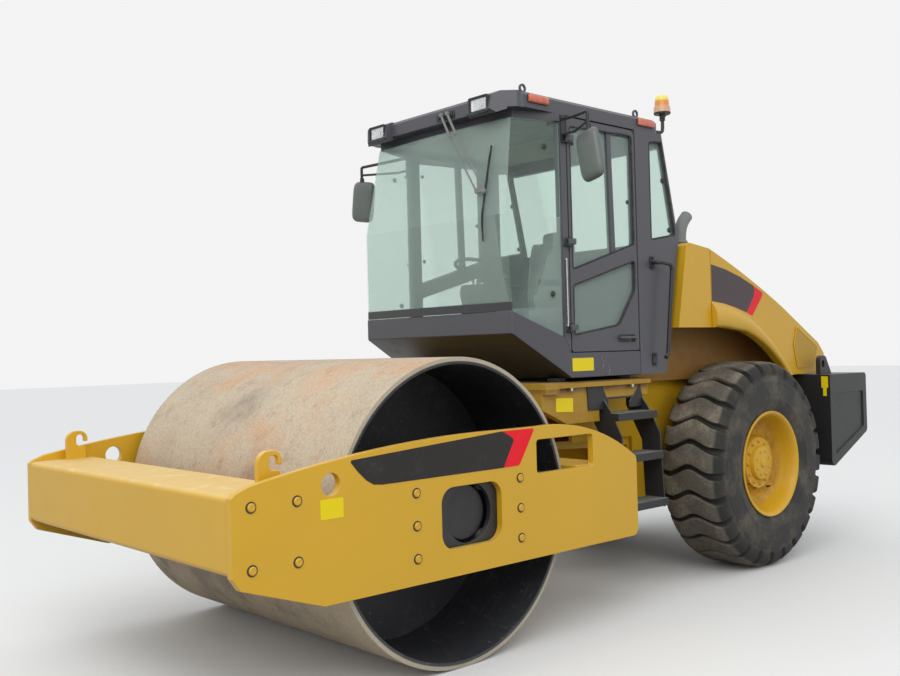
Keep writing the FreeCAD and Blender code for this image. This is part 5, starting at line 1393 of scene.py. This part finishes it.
# Wheel arch's edge and the flare's outer line, front to rear: x from the wheel's axle, z
ARCH_FRONT = [(0.358, 1.755), (0.24, 1.755)]
ARCH_ARC = [(-0.040, 1.723), (-0.390, 1.573), (-0.640, 1.374)]
FLARE_LINE = [(0.358, 1.9375), (0.217, 1.929), (0.051, 1.900), (-0.119, 1.845), (-0.267, 1.771), (-0.392, 1.688),
              (-0.493, 1.603), (-0.600, 1.503), (-0.690, 1.409), (-0.730, 1.374)]
# Flare's section: share of its width, height over the hood's side
FLARE_SECTION = [(0.0, 0.0), (0.0, 0.024), (0.03, 0.034), (0.12, 0.042), (0.28, 0.047), (0.46, 0.046), (0.62, 0.041),
                 (0.76, 0.031), (0.88, 0.017), (0.96, 0.005), (1.0, 0.0)]
FLARE_POINTS = 61


def circle_through(a, b, c, steps=24):
    """Points of the arc from a over b to c."""
    a, b, c = Vector(a), Vector(b), Vector(c)
    squares = [(p.length_squared, q, r) for p, q, r in ((a, b, c), (b, c, a), (c, a, b))]
    d = 2 * (a.x * (b.y - c.y) + b.x * (c.y - a.y) + c.x * (a.y - b.y))
    centre = Vector((sum(s * (q.y - r.y) for s, q, r in squares), sum(s * (r.x - q.x) for s, q, r in squares))) / d
    start, end = (math.atan2(p.y - centre.y, p.x - centre.x) for p in (a, c))
    radius = (a - centre).length
    return [centre + Vector((math.cos(t), math.sin(t))) * radius
            for t in (start + (end - start) * k / steps for k in range(steps + 1))]


def even_points(line, count=FLARE_POINTS):
    """Evenly spaced points along a line of points."""
    lengths = [0.0]
    for p, q in zip(line, line[1:]):
        lengths.append(lengths[-1] + (q - p).length)
    points = []
    for k in range(count):
        want = lengths[-1] * k / (count - 1)
        i = max(j for j in range(len(line) - 1) if lengths[j] <= want + 1e-9)
        share = (want - lengths[i]) / (lengths[i + 1] - lengths[i])
        points.append(line[i].lerp(line[i + 1], min(share, 1.0)))
    return points


class RollerFlares(bpy.types.Operator):
    """Crowned flares over the wheel arches of the hood"""
    bl_idname = "roller.flares"
    bl_label = "Fit the arch flares"

    def execute(self, context):
        edge = even_points([Vector(p) for p in ARCH_FRONT] + circle_through(*ARCH_ARC))
        outer = even_points([p.to_2d() for p in smooth_line([(*p, 0) for p in FLARE_LINE])])
        flare = Shape().skin([[Vector((AXLE.x + low.lerp(high, share).x, HOOD_HALF + rise, low.lerp(high, share).y))
                               for share, rise in FLARE_SECTION] for low, high in zip(edge, outer)])
        piece("arch_flares", flare.mirror(), "hood", "yellow_paint", crease=40)
        return {"FINISHED"}


BOLT_WASHER = [(0, 0.0165), (0.004, 0.0165), (0.005, 0.0125), (0.007, 0.0125)]
BOLT_HEAD = [(0.006, 0.0125), (0.019, 0.0125), (0.021, 0.010), (0.021, 0.0)]
# Hangers of the steps: x, z
HANGERS = [[(0.200, 1.376), (0.045, 1.376), (-0.005, 1.285), (-0.015, 1.225), (0.190, 1.225)],
           [(-0.355, 1.372), (-0.395, 1.225), (-0.230, 1.225), (-0.235, 1.262)]]
ROD_EYE = [(-0.008, 0.008), (0.010, 0.008), (0.012, 0.006)]


class RollerDeckFittings(bpy.types.Operator):
    """Flange of the cab's deck with its bolts, the hangers of the steps, and the rods on the door posts"""
    bl_idname = "roller.deck_fittings"
    bl_label = "Fit the deck's flange and bolts"

    def execute(self, context):
        low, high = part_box("cab_deck")
        inside = DECK_HALF - 0.004
        lip = Shape().block((low.x + 0.004, inside, 1.3785), (high.x - 0.004, DECK_HALF + 0.034, 1.409))
        lip.block((high.x - 0.13, inside, 1.345), (high.x - 0.001, DECK_HALF + 0.037, 1.4105))
        piece("deck_flanges", lip.mirror(), "rear_frame", "deck_paint", bevel=0.003)
        bolts = Shape()
        for x in (HINGE_X + 0.275, HINGE_X - 0.347):
            start = (x, DECK_HALF + 0.017, 1.379)
            bolts.lathe(BOLT_WASHER, start, -UP, 24)
            bolts.lathe(BOLT_HEAD, start, -UP, 6)
        piece("deck_bolts", bolts.mirror(), "rear_frame", "chrome_rod", crease=25)
        hangers = Shape()
        for outline in HANGERS:
            hangers.prism(outline, "xz", DECK_HALF - 0.002, DECK_HALF + 0.008)
        piece("step_hangers", hangers.mirror(), "rear_frame", "step_paint", bevel=0.0015)
        x, y = HINGE_X + 0.332, CAB_HALF + 0.009
        stay = Shape().tube([(x, y, 2.190), (x, y, 1.765)], 0.0045)
        for z in (2.185, 1.772):
            stay.lathe(ROD_EYE, (x, CAB_HALF, z), OUT, 16)
        piece("post_rods", stay.mirror(), "rear_frame", "chrome_rod", crease=40)
        return {"FINISHED"}


# Exhaust pipe's bend: step back from its foot, z
PIPE_BEND = [(0, 2.40), (-0.008, 2.46), (-0.034, 2.515), (-0.070, 2.553), (-0.092, 2.572)]
PIPE_CLAMP = [(0, 0.044), (0.012, 0.056), (0.016, 0.056), (0.030, 0.045)]
PIPE_OUTSIDE, PIPE_INSIDE = 0.0435, 0.0385


class RollerExhaust(bpy.types.Operator):
    """Exhaust pipe that bends back, with its open end"""
    bl_idname = "roller.exhaust"
    bl_label = "Fit the exhaust pipe"

    def execute(self, context):
        low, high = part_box("exhaust_stack")
        x, y = high.x - 0.045, (low.y + high.y) / 2
        line = smooth_line([(x, y, low.z + 0.002)] + [(x + step, y, z) for step, z in PIPE_BEND])
        back = line[:-15:-1]
        radii = [PIPE_OUTSIDE] * (len(line) - 2) + [0.044, 0.042] + [PIPE_INSIDE] * len(back)
        pipe = Shape().tube(line + back, radii, 32)
        pipe.lathe(PIPE_CLAMP, (x, y, low.z + 0.06), UP)
        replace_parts(piece("exhaust_pipe", pipe, "rear_frame", "stack_paint", crease=50), "exhaust_stack")
        return {"FINISHED"}


class RollerRailFeet(bpy.types.Operator):
    """Feet and screws of the grab rails"""
    bl_idname = "roller.rail_feet"
    bl_label = "Fit the grab rail feet"

    def execute(self, context):
        x, top = HINGE_X - 0.56, CAB_HALF + 0.008
        feet = Shape()
        for z in (2.2, 1.54):
            feet.prism(oblong((x - 0.025, z - 0.045), (x + 0.025, z + 0.045), 0.015, 4), "xz", CAB_HALF, top)
            for step in (-0.031, 0.031):
                feet.lathe([(0, 0.009), (0.006, 0.009), (0.008, 0.006), (0.008, 0)], (x, top, z + step), OUT, 6)
        piece("rail_feet", feet.mirror(), "rear_frame", "black_paint", bevel=0.001)
        return {"FINISHED"}


class RollerSetStage(bpy.types.Operator):
    """Floor, lamps, world and camera"""
    bl_idname = "roller.set_stage"
    bl_label = "Set the stage"

    def execute(self, context):
        scene = context.scene
        stage = scene.roller_stage
        self.lay_floor(stage.floor)
        lamp = bpy.data.lights.new("key", "AREA")
        lamp.shape = "RECTANGLE"
        lamp.size = 8.0
        lamp.size_y = 6.0
        lamp.energy = stage.key
        key = link("key", lamp)
        key.location = (6.0, 5.0, 7.0)
        aim = Vector((0.0, 0.0, 1.2))
        key.rotation_euler = (aim - key.location).to_track_quat("-Z", "Y").to_euler()
        self.set_world(scene, stage.sky)
        self.set_camera(scene, stage.lens)
        scene.view_settings.view_transform = "Standard"
        return {"FINISHED"}

    def lay_floor(self, colour):
        half = 60
        sheet = Shape()
        corners = ((-half, -half), (half, -half), (half, half), (-half, half))
        sheet.bm.faces.new([sheet.bm.verts.new((x, y, 0)) for x, y in corners])
        mesh = bpy.data.meshes.new("floor")
        sheet.bm.to_mesh(mesh)
        ground = link("floor", mesh)
        paving = Finish("stage floor", Roughness=0.9)
        seen = paving.seen()
        tone = paving.mix(paving.noise(0.8, 3) * 0.05, colour, (0.7, 0.7, 0.7))
        mesh.materials.append(paving.feed(Base_Color=paving.mix(seen, (0.3, 0.3, 0.29), tone)))

    def set_world(self, scene, strength):
        scene.world = bpy.data.worlds.new("even sky")
        scene.world.use_nodes = True
        sky = Nodes(scene.world.node_tree)
        sky.tree.nodes.clear()
        light = sky.node("ShaderNodeBackground", None, {"Color": (0.96, 0.98, 1.0), "Strength": strength})
        white = sky.node("ShaderNodeBackground", None, {"Color": (0.9, 0.9, 0.9)})
        sky.node("ShaderNodeOutputWorld", None, {0: sky.mix_shaders(sky.seen(), light, white)})

    def set_camera(self, scene, lens):
        """The photograph's view, which leans by a small roll."""
        place = Vector((5.184, 4.8902, 1.6259))
        forward = Vector((-0.6729, -0.7396, 0.01386)).normalized()
        roll = -0.0260
        right = forward.cross(UP).normalized()
        up = right.cross(forward)
        right, up = (right * math.cos(roll) + up * math.sin(roll), up * math.cos(roll) - right * math.sin(roll))
        data = bpy.data.cameras.new("camera")
        data.lens = lens
        data.sensor_width = 36.0
        matrix = Matrix((right, up, -forward)).transposed().to_4x4()
        matrix.translation = place
        scene.camera = link("camera", data)
        scene.camera.matrix_world = matrix


OPERATORS = [RollerFinishes, RollerTyres, RollerWheelFittings, RollerPlateBolts, RollerFilms, RollerSeat,
             RollerControls, RollerMirrors, RollerLamps, RollerBeacon, RollerWiper, RollerGlassTrim, RollerDoorTrim,
             RollerHoodTrim, RollerFlares, RollerDeckFittings, RollerExhaust, RollerRailFeet, RollerSetStage]
GROUPS = {"roller_colours": RollerColours, "roller_sizes": RollerSizes, "roller_stage": RollerStage}


class ROLLER_PT_panel(bpy.types.Panel):
    """Lists the roller's settings and pieces"""
    bl_idname = "ROLLER_PT_panel"
    bl_label = "Road roller"
    bl_space_type = "VIEW_3D"
    bl_region_type = "UI"
    bl_category = "Roller"

    def draw(self, context):
        for name in GROUPS:
            group = getattr(context.scene, name)
            box = self.layout.box()
            for setting in group.__annotations__:
                box.prop(group, setting)
        for operator in OPERATORS:
            self.layout.operator(operator.bl_idname)


def register():
    for cls in (*GROUPS.values(), *OPERATORS, ROLLER_PT_panel):
        bpy.utils.register_class(cls)
    for name, group in GROUPS.items():
        setattr(bpy.types.Scene, name, bpy.props.PointerProperty(type=group))


def unregister():
    for name in GROUPS:
        delattr(bpy.types.Scene, name)
    for cls in (ROLLER_PT_panel, *reversed(OPERATORS), *GROUPS.values()):
        bpy.utils.unregister_class(cls)


def main():
    register()
    for operator in OPERATORS:
        group, name = operator.bl_idname.split(".")
        getattr(getattr(bpy.ops, group), name)()


if __name__ == "__main__":
    main()
